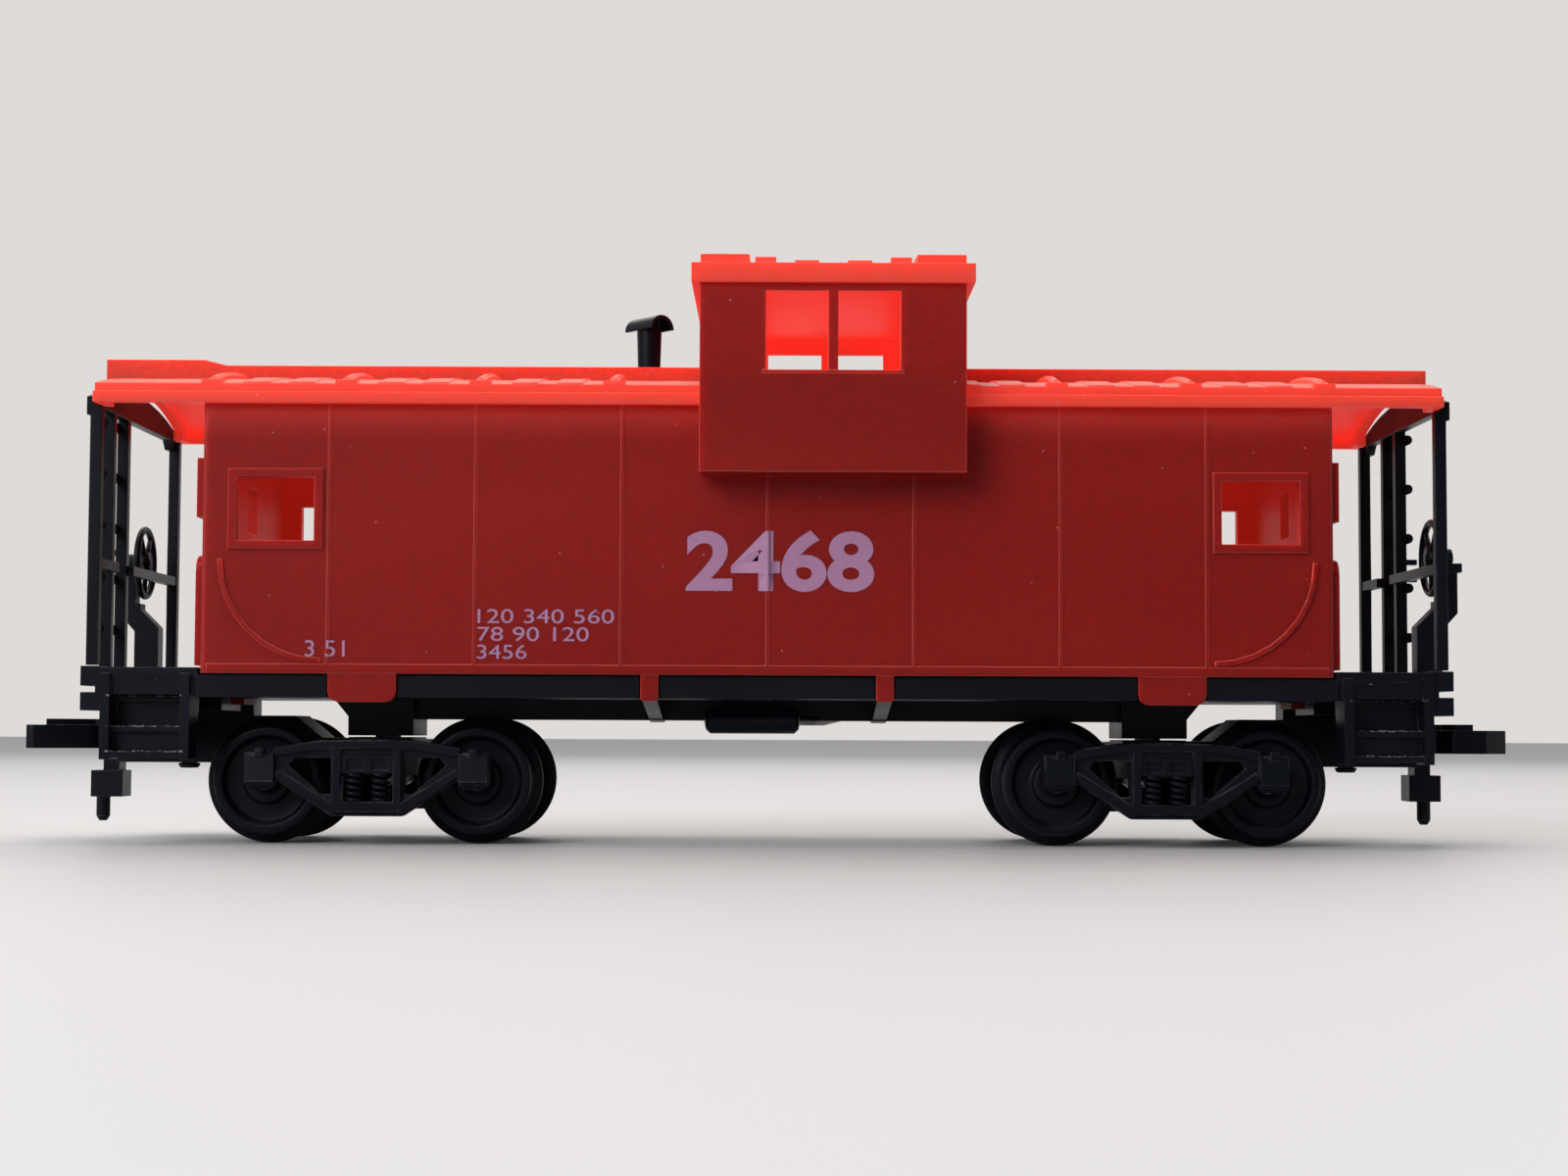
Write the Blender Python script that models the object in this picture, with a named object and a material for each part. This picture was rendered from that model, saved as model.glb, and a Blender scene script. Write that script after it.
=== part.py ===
"""A small-scale railway caboose with a wide-vision cupola, as a snap-together plastic model.

+X runs along the track, +Y across it, +Z up.  Z = 0 is the surface that the wheels stand on.
End b is the +X end and end a is its copy, turned half a turn about the vertical axis.
"""
import math

import bmesh
import bpy
from mathutils import Matrix, Vector

mm = 0.001

# Clearances
fit_gap = 0.1 * mm            # between pieces that are pressed or set together
slide_gap = 0.15 * mm         # between a tab and its notch, and under the swivelling trucks

# Body shell
body_length = 108.1 * mm
body_width = 34.0 * mm
body_bottom = 16.45 * mm
side_wall = 1.0 * mm
end_wall = 1.4 * mm
body_corner = 0.7 * mm
eave_height = 43.4 * mm       # where the roof's underside meets the side walls
ceiling_rise = 2.1 * mm       # how far the underside of the roof arches up
seam_pitch = 13.95 * mm       # between the raised panel seams on the sides
seam_width = 0.3 * mm
seam_proud = 0.12 * mm
sill_band = 0.9 * mm

# Side windows
window_centre = 46.98 * mm
window_width = 7.45 * mm
window_height = 6.1 * mm
window_sill = 29.1 * mm
frame_border = 0.78 * mm
frame_proud = 0.3 * mm
grab_radius = 9.6 * mm        # the quarter-round hand rail below each side window
grab_drop = 1.0 * mm          # from the window frame down to the rail's upper end
grab_wire = 0.4 * mm

# Tabs that clip over the floor
skirt_centre = 38.55 * mm
skirt_width = 6.5 * mm
skirt_bottom = 13.75 * mm
skirt_corner = 1.0 * mm
clip_centre = 11.2 * mm
clip_width = 1.7 * mm
clip_bottom = 13.95 * mm
end_tab_width = 5.6 * mm
end_tab_bottom = 13.6 * mm

# End walls
door_width = 7.2 * mm
door_proud = 0.35 * mm
door_window_width = 4.4 * mm
door_window_bottom = 31.0 * mm
door_window_height = 4.6 * mm
panel_proud = 0.7 * mm
panel_width = 6.4 * mm
panel_edge = 15.9 * mm        # outer edge of the raised panels beside the door
upper_panel_bottom = 31.4 * mm
upper_panel_top = 37.1 * mm
lower_panel_bottom = 17.2 * mm
lower_panel_top = 27.8 * mm
pane_border = 0.9 * mm
pane_depth = 0.35 * mm

# Main roof
roof_length = 128.6 * mm
roof_skin = 0.7 * mm
fascia_drop = 1.2 * mm        # from the eave line down to the fascia's lower edge
fascia_height = 1.05 * mm
fascia_width = 36.6 * mm
strip_inset = 0.7 * mm        # the upper strip of the eave stands in by this much
end_lip = 1.0 * mm
lip_corner = 3.2 * mm         # width of the block in each corner of the end lip
rib_first = 14.75 * mm
rib_pitch = 12.78 * mm
rib_count = 4
rib_width = 0.9 * mm
rib_cap_length = 2.1 * mm
rib_cap_depth = 1.5 * mm
rib_cap_height = 0.42 * mm
rib_cap_peak = 0.26 * mm      # how far the rounded rib stands above its cap
panel_batten_length = 2.5 * mm
panel_batten_height = 0.18 * mm

# Roof walk
walk_end_a = 67.2 * mm
walk_end_b = 66.6 * mm
walk_width = 5.0 * mm
walk_thickness = 1.65 * mm
walk_step = 0.55 * mm
walk_step_start = 57.2 * mm
walk_ramp = 2.2 * mm
walk_plank_gap = 0.25 * mm
walk_plank_groove = 0.3 * mm

# Cupola
cupola_centre = 6.1 * mm
cupola_length = 25.2 * mm
cupola_width = 41.8 * mm
cupola_wall = 1.0 * mm
bay_drop = 7.9 * mm           # from the eave line down to the bottom of the bays
cupola_height = 10.7 * mm     # from the eave line up to the top of the walls
cupola_floor = 1.0 * mm
cupola_window_head = 1.45 * mm
cupola_window_height = 7.5 * mm
cupola_window_span = 12.7 * mm
cupola_mullion = 0.95 * mm
cupola_end_window_width = 8.6 * mm
cupola_end_window_height = 4.75 * mm
cupola_end_window_gap = 3.0 * mm
cupola_roof_overhang = 0.8 * mm
cupola_fascia = 0.8 * mm
cupola_eave = 1.0 * mm
cupola_rise = 1.2 * mm
cupola_band_inset = 0.85 * mm
cupola_band_length = 4.65 * mm
cupola_band_height = 0.85 * mm
cupola_rib_height = 0.5 * mm
cupola_cap_offset = 6.4 * mm
cupola_bump_offset = 2.5 * mm

# Smoke jack
jack_x = -12.7 * mm
jack_y = 7.0 * mm
jack_height = 7.0 * mm        # of the pipe above the crown of the roof
jack_diameter = 2.6 * mm
jack_foot_diameter = 3.0 * mm
jack_foot_height = 0.6 * mm
jack_hood_length = 4.6 * mm
jack_hood_radius = 1.5 * mm
jack_hood_wall = 0.35 * mm
jack_turn = math.radians(-50.0)

# Underframe
floor_bottom = 14.2 * mm
floor_top = 16.3 * mm
floor_width = 33.4 * mm
ledge_height = 0.9 * mm
centre_sill_width = 7.0 * mm
centre_sill_bottom = 12.2 * mm
bearer_drop = 0.2 * mm        # how far the cross bearers reach below the centre sill
gate_radius = 4.0 * mm
gate_height = 0.45 * mm
deck_top = 17.0 * mm
deck_thickness = 1.0 * mm
deck_width = 33.2 * mm
deck_end = 64.0 * mm
end_beam_depth = 1.4 * mm
end_beam_proud = 1.4 * mm
beam_upper_bottom = 15.2 * mm
beam_lower_top = 14.6 * mm
beam_lower_bottom = 12.85 * mm
beam_opening = 19.0 * mm      # clear width for the swinging coupler arm
draft_sill_length = 3.0 * mm
draft_sill_width = 9.0 * mm
draft_sill_bottom = 13.0 * mm

# Steps at the four corners
step_start = 54.9 * mm
step_length = 8.5 * mm
step_outer = 17.0 * mm
step_inner = 12.2 * mm
step_bottom = 8.2 * mm
step_plate = 0.9 * mm
tread_heights = (9.0 * mm, 11.4 * mm, 14.3 * mm)
tread_thickness = 0.6 * mm

# Steel weight
weight_length = 88.0 * mm
weight_width = 24.0 * mm
weight_thickness = 2.0 * mm
weight_bevel = 0.4 * mm

# Air tank under the floor
tank_length = 9.5 * mm
tank_radius = 1.35 * mm
tank_x = -1.5 * mm
tank_y = 8.4 * mm
tank_strap_width = 0.8 * mm

# End railing and ladder
post_size = 1.1 * mm
post_outer = 16.3 * mm
post_inboard = 63.9 * mm
cap_height = 0.9 * mm
end_arch_depth = 0.95 * mm
mid_rail_height = 27.0 * mm
mid_rail_size = 0.95 * mm
ladder_inboard = 64.6 * mm
ladder_stile = 1.1 * mm
ladder_inner = 2.4 * mm
ladder_outer = 8.9 * mm
rung_first = 21.0 * mm
rung_pitch = 5.1 * mm
rung_headroom = 0.5 * mm      # at least this much between the top rung and the end arch
rung_diameter = 1.0 * mm
rung_overlap = 0.4 * mm
clamp_height = 28.8 * mm      # the small clamp on the inner stile
clamp_size = 1.1 * mm

# Hand brake
brake_y = 8.0 * mm            # distance from the centre line to the stand
stand_width = 2.2 * mm
stand_inboard = 63.8 * mm
stand_neck = 65.7 * mm        # the pedestal steps out to here at its shoulder
stand_outboard = 67.85 * mm
stand_shelf = 0.35 * mm
wheel_centre_height = 28.5 * mm
brake_wheel_radius = 3.85 * mm
brake_rim = 0.36 * mm
brake_hub = 0.75 * mm
brake_spokes = 5
brake_wheel_x = 65.55 * mm
brake_peg = 0.4 * mm

# Trucks
truck_centre = 38.55 * mm
wheelbase = 20.6 * mm
flange_radius = 6.2 * mm
tread_radius = 5.25 * mm
wheel_width = 2.8 * mm
wheel_inner_face = 7.2 * mm
flange_thickness = 0.75 * mm
wheel_segments = 20
axle_radius = 1.0 * mm
axle_half_length = 12.2 * mm
axle_point_length = 1.5 * mm
axle_segments = 12
axle_height = flange_radius
frame_outer = 13.6 * mm
frame_inner = 11.3 * mm
frame_face_depth = 0.5 * mm
frame_top = 10.2 * mm
frame_bottom = 2.8 * mm
journal_half = 1.55 * mm
journal_top = 8.95 * mm
journal_bottom = 5.4 * mm
bolster_half = 3.2 * mm
bolster_top = 10.4 * mm
bolster_bottom = 6.6 * mm
window_top = 8.4 * mm         # of the open triangles in a side frame
window_bottom = 4.9 * mm
window_near = 3.5 * mm        # from the middle of the frame to a triangle's upright edge
window_far = 7.6 * mm
spring_window_half = 2.6 * mm
spring_seat = 4.2 * mm        # top of the lower chord, where the springs stand
spring_cap = 6.9 * mm         # underside of the bolster's end, on top of the springs
chord_top = 8.7 * mm
flange_depth = 0.75 * mm      # of the raised rim along the top of a side frame
spring_radius = 0.95 * mm
spring_spacing = 2.5 * mm
spring_coils = 4
pillar_half = 3.25 * mm
pillar_width = 10.0 * mm
pin_radius = 1.3 * mm
pin_head_radius = 2.6 * mm
pin_head_height = 0.9 * mm
pin_depth = 2.4 * mm          # how far the pin reaches into the body bolster

# Coupler arm, pocket and coupler
arm_width = 7.6 * mm
arm_bottom = 7.8 * mm
arm_top = 12.5 * mm
arm_start = 6.0 * mm          # from the truck centre
arm_shoulder = 8.7 * mm
arm_end = 65.0 * mm
pocket_width = 5.2 * mm
pocket_bottom = 8.9 * mm
pocket_top = 11.75 * mm
pocket_depth = 11.0 * mm
coupler_pivot = 58.7 * mm
coupler_bottom = 9.15 * mm
coupler_top = 11.5 * mm
coupler_pin_radius = 0.8 * mm
coupler_pin_head = 1.1 * mm
coupler_pin_drop = 0.5 * mm
coupler_eye_radius = 2.0 * mm
shank_half = 1.3 * mm
head_start = 67.6 * mm
coupler_tip = 74.7 * mm
head_cap_height = 0.6 * mm
head_cap_setback = 3.7 * mm   # from the coupler's tip back to the end of the raised cap
trip_column_start = 65.4 * mm
trip_column_length = 1.6 * mm
trip_block_start = 64.85 * mm
trip_block_length = 3.2 * mm
trip_block_bottom = 4.3 * mm
trip_block_top = 6.95 * mm
trip_pin_x = 66.95 * mm
trip_pin_y = 1.5 * mm
trip_pin_bottom = 1.9 * mm
trip_pin_radius = 0.7 * mm

red_plastic = (0.40, 0.020, 0.016, 1.0)
roof_red = (0.52, 0.030, 0.020, 1.0)
black_plastic = (0.012, 0.012, 0.014, 1.0)
steel_grey = (0.32, 0.33, 0.34, 1.0)

half_length = body_length / 2
half_width = body_width / 2
bearing_gap = 0.25 * mm
fascia_bottom = eave_height - fascia_drop
end_arch_bottom = fascia_bottom - fit_gap
ridge_height = eave_height + ceiling_rise
roof_crown = ridge_height + roof_skin
walk_bottom = roof_crown + fit_gap
jack_top = roof_crown + jack_height
bay_bottom = eave_height - bay_drop
cupola_top = eave_height + cupola_height
cupola_window_top = cupola_top - cupola_window_head
cupola_window_bottom = cupola_window_top - cupola_window_height
cupola_low = cupola_centre - cupola_length / 2
cupola_high = cupola_centre + cupola_length / 2
rung_count = int((end_arch_bottom - rung_headroom - rung_first) / rung_pitch) + 1
rung_heights = [rung_first + rung_pitch * step for step in range(rung_count)]


# ---------------------------------------------------------------- shape helpers

def clear_scene():
    for item in list(bpy.data.objects):
        bpy.data.objects.remove(item, do_unlink=True)
    for block in (bpy.data.meshes, bpy.data.curves, bpy.data.materials):
        for item in list(block):
            block.remove(item)


def material(name, colour, roughness, metallic=0.0):
    made = bpy.data.materials.new(name)
    made.use_nodes = True
    shader = made.node_tree.nodes["Principled BSDF"]
    shader.inputs["Base Color"].default_value = colour
    shader.inputs["Roughness"].default_value = roughness
    shader.inputs["Metallic"].default_value = metallic
    made.diffuse_color = colour
    return made


def solid_from(bm):
    """An object from a closed bmesh, with its faces pointing out."""
    bmesh.ops.recalc_face_normals(bm, faces=bm.faces)
    mesh = bpy.data.meshes.new("solid")
    bm.to_mesh(mesh)
    bm.free()
    made = bpy.data.objects.new("solid", mesh)
    bpy.context.scene.collection.objects.link(made)
    return made


def prism(outline, axis, low, high):
    """Extrude an outline along an axis: (y, z) along X, (x, z) along Y, (x, y) along Z."""
    order = {"X": lambda a, b, c: (c, a, b), "Y": lambda a, b, c: (a, c, b), "Z": lambda a, b, c: (a, b, c)}
    bm = bmesh.new()
    near = [bm.verts.new(order[axis](a, b, low)) for a, b in outline]
    face = bm.faces.new(near)
    grown = bmesh.ops.extrude_face_region(bm, geom=[face])
    shift = Vector(order[axis](0.0, 0.0, high - low))
    moved = [part for part in grown["geom"] if isinstance(part, bmesh.types.BMVert)]
    bmesh.ops.translate(bm, verts=moved, vec=shift)
    return solid_from(bm)


def box(x_range, y_range, z_range):
    outline = [(x_range[0], y_range[0]), (x_range[1], y_range[0]),
               (x_range[1], y_range[1]), (x_range[0], y_range[1])]
    return prism(outline, "Z", z_range[0], z_range[1])


def turned(profile, segments, axis="Z", centre=(0.0, 0.0, 0.0), offset_angle=0.0):
    """Revolve (radius, height) points.  A zero radius at either end closes the shape in a point."""
    turn = {"Z": Matrix.Identity(4),
            "X": Matrix.Rotation(math.pi / 2, 4, "Y"),
            "Y": Matrix.Rotation(-math.pi / 2, 4, "X")}[axis]
    bm = bmesh.new()
    rings = []
    for radius, height in profile:
        if radius == 0.0:
            rings.append([bm.verts.new((0.0, 0.0, height))])
            continue
        ring = []
        for step in range(segments):
            angle = offset_angle + 2 * math.pi * step / segments
            ring.append(bm.verts.new((radius * math.cos(angle), radius * math.sin(angle), height)))
        rings.append(ring)
    closed = profile[0] == profile[-1]
    if closed:
        bmesh.ops.delete(bm, geom=rings[-1], context="VERTS")
        rings[-1] = rings[0]
    for first, second in zip(rings, rings[1:]):
        for step in range(segments):
            after = (step + 1) % segments
            corners = [first[step % len(first)], first[after % len(first)],
                       second[after % len(second)], second[step % len(second)]]
            bm.faces.new(list(dict.fromkeys(corners)))
    if not closed:
        for ring in (rings[0], rings[-1]):
            if len(ring) > 1:
                bm.faces.new(ring)
    bmesh.ops.transform(bm, matrix=Matrix.Translation(centre) @ turn, verts=bm.verts)
    return solid_from(bm)


def cylinder(radius, low, high, segments, axis="Z", centre=(0.0, 0.0, 0.0)):
    return turned([(radius, low), (radius, high)], segments, axis, centre)


def swept_bar(points, size):
    """A square bar that follows points in the XZ plane, centred on y = 0."""
    bm = bmesh.new()
    half = size / 2
    rings = []
    for index, (x, z) in enumerate(points):
        before = Vector(points[max(index - 1, 0)])
        after = Vector(points[min(index + 1, len(points) - 1)])
        along = (after - before).normalized()
        side = Vector((-along.y, along.x)) * half
        rings.append([bm.verts.new((x + side.x, -half, z + side.y)),
                      bm.verts.new((x + side.x, half, z + side.y)),
                      bm.verts.new((x - side.x, half, z - side.y)),
                      bm.verts.new((x - side.x, -half, z - side.y))])
    for first, second in zip(rings, rings[1:]):
        for step in range(4):
            after = (step + 1) % 4
            bm.faces.new((first[step], first[after], second[after], second[step]))
    bm.faces.new(rings[0])
    bm.faces.new(rings[-1])
    return solid_from(bm)


def moved(solid, x=0.0, y=0.0, z=0.0, turn=0.0):
    """Turn a solid about the vertical axis, then shift it."""
    solid.data.transform(Matrix.Translation((x, y, z)) @ Matrix.Rotation(turn, 4, "Z"))
    return solid


def combined(base, others, operation):
    """Apply one Boolean for each other solid, and take those solids away."""
    for other in others:
        step = base.modifiers.new("combine", "BOOLEAN")
        step.operation = operation
        step.solver = "EXACT"
        step.object = other
        bpy.context.view_layer.update()
        graph = bpy.context.evaluated_depsgraph_get()
        result = bpy.data.meshes.new_from_object(base.evaluated_get(graph))
        base.modifiers.clear()
        spent = base.data
        base.data = result
        bpy.data.meshes.remove(spent)
        bpy.data.objects.remove(other, do_unlink=True)
    return base


def fused(base, *others):
    return combined(base, others, "UNION")


def cut(base, *others):
    return combined(base, others, "DIFFERENCE")


def common(base, other):
    return combined(base, [other], "INTERSECT")


def tidied(solid):
    """Merge the hairline edges that Booleans leave, and dissolve edges inside flat faces."""
    bm = bmesh.new()
    bm.from_mesh(solid.data)
    bmesh.ops.remove_doubles(bm, verts=bm.verts, dist=0.002 * mm)
    bmesh.ops.dissolve_degenerate(bm, edges=bm.edges, dist=0.001 * mm)
    bmesh.ops.dissolve_limit(bm, angle_limit=math.radians(0.2), verts=bm.verts, edges=bm.edges)
    bmesh.ops.triangulate(bm, faces=bm.faces)
    bm.to_mesh(solid.data)
    bm.free()
    return solid


def named(solid, name, finish, smooth_angle=None, parent=None, location=(0.0, 0.0, 0.0)):
    """Give a finished solid its node's name, finish, parent and place."""
    solid.name = name
    solid.data.name = name
    solid.data.materials.clear()
    solid.data.materials.append(finish)
    if smooth_angle:
        solid.data.shade_smooth()
        solid.data.set_sharp_from_angle(angle=math.radians(smooth_angle))
    solid.parent = parent
    solid.location = location
    return solid


def twin(solid, name, parent=None, location=(0.0, 0.0, 0.0), turn=0.0):
    """A second object that shares a finished solid's mesh."""
    copy = solid.copy()
    copy.name = name
    copy.parent = parent
    copy.location = location
    copy.rotation_euler = (0.0, 0.0, turn)
    bpy.context.scene.collection.objects.link(copy)
    return copy


def arch(half_span, edge_height, rise, count=12):
    """Points of a shallow circular arch over the centre line, from +y to -y."""
    radius = (half_span ** 2 + rise ** 2) / (2 * rise)
    points = []
    for step in range(count + 1):
        y = half_span * math.cos(math.pi * step / count)
        points.append((y, edge_height + math.sqrt(radius ** 2 - y ** 2) - (radius - rise)))
    return points


def rounded_rectangle(half_x, half_y, radius, count=3):
    points = []
    for corner, (sign_x, sign_y) in enumerate(((1, 1), (-1, 1), (-1, -1), (1, -1))):
        for step in range(count + 1):
            angle = math.pi / 2 * (corner + step / count)
            points.append((sign_x * (half_x - radius) + radius * math.cos(angle),
                           sign_y * (half_y - radius) + radius * math.sin(angle)))
    return points


def tab_outline(centre, width, bottom, top, radius):
    """A hanging tab, with its two lower corners rounded."""
    low, high = centre - width / 2, centre + width / 2
    points = [(low, top)]
    for side, start in ((low + radius, math.pi), (high - radius, 1.5 * math.pi)):
        for step in range(4):
            angle = start + math.pi / 2 * step / 3
            points.append((side + radius * math.cos(angle), bottom + radius + radius * math.sin(angle)))
    points.append((high, top))
    return points


def both_sides(low, high):
    """The same range of y on the +Y side and on the -Y side."""
    return ((low, high), (-high, -low))


# ---------------------------------------------------------------- body shell

def window_range():
    low = window_centre - window_width / 2
    return low, low + window_width


def body_shell(finish):
    block = prism([(-half_width, body_bottom), (half_width, body_bottom)]
                  + arch(half_width, eave_height - fit_gap, ceiling_rise), "X", -half_length, half_length)
    plan = prism(rounded_rectangle(half_length, half_width, body_corner), "Z",
                 body_bottom - mm, ridge_height + mm)
    shell = common(block, plan)
    fused(shell, *side_details())
    fused(shell, *end_details())
    inner_x = half_length - end_wall
    inner_y = half_width - side_wall
    cut(shell, box((-inner_x, inner_x), (-inner_y, inner_y), (0.0, ridge_height + mm)))
    low, high = window_range()
    for sign in (-1, 1):
        reach = sorted((sign * low, sign * high))
        cut(shell, box(reach, (-body_width, body_width), (window_sill, window_sill + window_height)))
    door_half = door_window_width / 2
    cut(shell, box((-body_length, body_length), (-door_half, door_half),
                   (door_window_bottom, door_window_bottom + door_window_height)))
    return named(tidied(shell), "body_shell", finish)


def side_details():
    """Seams, sill band, window frames, hand rails and tabs, on both sides."""
    pieces = []
    bay_clear = bay_bottom - fit_gap
    face = half_width - side_wall / 2
    skin = half_width + seam_proud
    low, high = window_range()
    centre_x = low - 0.65 * mm
    for y_range in both_sides(face, skin):
        for index in range(-3, 4):
            x = index * seam_pitch
            top = bay_clear if cupola_low < x < cupola_high else fascia_bottom - fit_gap
            seam_x = (x - seam_width / 2, x + seam_width / 2)
            pieces.append(box(seam_x, y_range, (body_bottom + sill_band, top)))
        reach = half_length - body_corner
        pieces.append(box((-reach, reach), y_range, (body_bottom, body_bottom + sill_band)))
    for y_range in both_sides(face, half_width + frame_proud):
        for sign in (-1, 1):
            reach = sorted((sign * (low - frame_border), sign * (high + frame_border)))
            pieces.append(box(reach, y_range, (window_sill - frame_border,
                                               window_sill + window_height + frame_border)))
    for side in (-1, 1):
        for sign in (-1, 1):
            arc = []
            for step in range(9):
                angle = math.pi / 2 * step / 8
                arc.append((sign * (centre_x + grab_radius * math.cos(angle)),
                            window_sill - frame_border - grab_drop - grab_radius * math.sin(angle)))
            pieces.append(moved(swept_bar(arc, grab_wire), y=side * (half_width + grab_wire / 4)))
    for y_range in both_sides(half_width - side_wall, half_width):
        for sign in (-1, 1):
            skirt = tab_outline(sign * skirt_centre, skirt_width, skirt_bottom, body_bottom + mm, skirt_corner)
            pieces.append(prism(skirt, "Y", *y_range))
            clip = tab_outline(sign * clip_centre, clip_width, clip_bottom, body_bottom + mm, clip_width / 6)
            pieces.append(prism(clip, "Y", *y_range))
    return pieces


def end_details():
    """The door, the raised panels beside it and the clip tab, on both end walls."""
    pieces = []
    face = half_length - end_wall / 2
    for sign in (-1, 1):
        def reach(proud):
            return sorted((sign * face, sign * (half_length + proud)))
        door_half = door_width / 2
        pieces.append(box(reach(door_proud), (-door_half, door_half),
                          (deck_top + 2 * fit_gap, upper_panel_top + mm)))
        for outer in (-panel_edge, panel_edge - panel_width):
            y_range = (outer, outer + panel_width)
            pieces.append(prism(panel_outline(y_range, lower_panel_bottom, lower_panel_top), "X",
                                *reach(panel_proud)))
            frame = box(reach(panel_proud), y_range, (upper_panel_bottom, upper_panel_top))
            pane = box(sorted((sign * (half_length + panel_proud - pane_depth), sign * body_length)),
                       (y_range[0] + pane_border, y_range[1] - pane_border),
                       (upper_panel_bottom + pane_border, upper_panel_top - pane_border))
            pieces.append(cut(frame, pane))
        tab_half = end_tab_width / 2
        pieces.append(box(sorted((sign * (half_length - end_wall), sign * half_length)),
                          (-tab_half, tab_half), (end_tab_bottom, body_bottom + mm)))
    return pieces


def panel_outline(y_range, bottom, top):
    """A panel whose top corners are rounded."""
    radius = (y_range[1] - y_range[0]) / 4
    points = [(y_range[0], bottom), (y_range[1], bottom)]
    for centre, start in ((y_range[1] - radius, 0.0), (y_range[0] + radius, math.pi / 2)):
        for step in range(4):
            angle = start + math.pi / 2 * step / 3
            points.append((centre + radius * math.cos(angle), top - radius + radius * math.sin(angle)))
    return points


# ---------------------------------------------------------------- roof and roof walk

def main_roof(finish):
    half = roof_length / 2
    fascia = fascia_width / 2
    strip = fascia - strip_inset
    fascia_top = fascia_bottom + fascia_height
    strip_top = eave_height + roof_skin
    outline = [(-fascia, fascia_bottom), (fascia, fascia_bottom), (fascia, fascia_top), (strip, fascia_top)]
    outline += arch(strip, strip_top, ceiling_rise) + [(-strip, fascia_top), (-fascia, fascia_top)]
    roof = prism(outline, "X", -half, half)
    fused(roof, *roof_ribs(strip, strip_top))
    inner = half_width + seam_proud + fit_gap
    hollow = [(-inner, 0.0), (inner, 0.0)] + arch(inner, eave_height, ceiling_rise)
    cut(roof, prism(hollow, "X", -half + end_lip, half - end_lip))
    lip = inner - lip_corner
    mouth = [(-lip, 0.0), (lip, 0.0)] + arch(lip, eave_height - 0.1 * mm, ceiling_rise)
    cut(roof, prism(mouth, "X", -roof_length, roof_length))
    cut(roof, jack_hole())
    return named(tidied(roof), "main_roof", finish)


def roof_ribs(strip, strip_top):
    """Rounded seams across the roof, each with a cap at both eaves, and two low battens in each panel."""
    pieces = []
    caps = both_sides(strip - rib_cap_depth, strip)
    for sign in (-1, 1):
        for index in range(rib_count):
            x = sign * (rib_first + rib_pitch * index)
            reach = beside_cupola(x - rib_cap_length / 2, x + rib_cap_length / 2)
            if reach:
                pieces.append(rounded_rib(x, strip, strip_top))
                pieces += [box(reach, y_range, (strip_top - rib_cap_depth / 3, strip_top + rib_cap_height))
                           for y_range in caps]
            for third in (1, 2) if index + 1 < rib_count else ():
                middle = x + sign * rib_pitch * third / 3
                reach = beside_cupola(middle - panel_batten_length / 2, middle + panel_batten_length / 2)
                if reach:
                    pieces.append(crossing_strip(reach, strip - fit_gap, strip_top, panel_batten_height))
    return pieces


def beside_cupola(low, high):
    """The part of a range along the roof that the cupola leaves free, or None."""
    if low < cupola_low:
        high = min(high, cupola_low - 2 * fit_gap)
    else:
        low = max(low, cupola_high + 2 * fit_gap)
    return (low, high) if high > low else None


def crossing_strip(reach, span, base, height):
    """A low strip across the roof, from each eave to the roof walk."""
    outer = arch(span, base + height, ceiling_rise)
    inner = [(y, z - height - roof_skin / 2) for y, z in reversed(outer)]
    strip = prism(outer + inner, "X", *reach)
    under_walk = walk_width / 2 + 2 * fit_gap
    return cut(strip, box((-body_length, body_length), (-under_walk, under_walk), (0.0, body_length)))


def rounded_rib(x, strip, strip_top):
    """A half-round seam across the roof, standing a little above its caps."""
    rise = rib_cap_height + rib_cap_peak
    wide = (x - rib_width / 2, x + rib_width / 2)
    narrow = (x - rib_width / 4, x + rib_width / 4)
    sides = crossing_strip(wide, strip - rib_cap_depth / 4, strip_top, rise * 0.7)
    crest = crossing_strip(narrow, strip - rib_cap_depth / 3, strip_top, rise)
    return fused(sides, crest)


def jack_hole():
    return cylinder(jack_diameter / 2 + fit_gap, 0.0, jack_top, 16, "Z", (jack_x, jack_y, 0.0))


def walk_profile(start, end, raised):
    """The side view of a roof walk.  One end of the car has a raised landing."""
    top = walk_bottom + walk_thickness
    points = [(start, walk_bottom), (end, walk_bottom), (end, top)]
    if raised:
        points += [(-walk_step_start + walk_ramp, top), (-walk_step_start, top + walk_step),
                   (start, top + walk_step)]
    else:
        points.append((start, top))
    return points


def roof_walk(name, start, end, raised, finish):
    half = walk_width / 2
    board = prism(walk_profile(start, end, raised), "Y", -half, half)
    top = walk_bottom + walk_thickness
    for line in (-walk_width / 6, walk_width / 6):
        groove = (line - walk_plank_groove / 2, line + walk_plank_groove / 2)
        low = -walk_step_start + walk_ramp + walk_plank_groove if raised else start - walk_plank_groove
        cut(board, box((low, end + mm), groove, (top - walk_plank_gap, top + mm)))
        if raised:
            cut(board, box((start - mm, -walk_step_start - 0.2 * mm), groove,
                           (top + walk_step - walk_plank_gap, top + walk_step + mm)))
    return named(tidied(board), name, finish)


# ---------------------------------------------------------------- cupola

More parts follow.
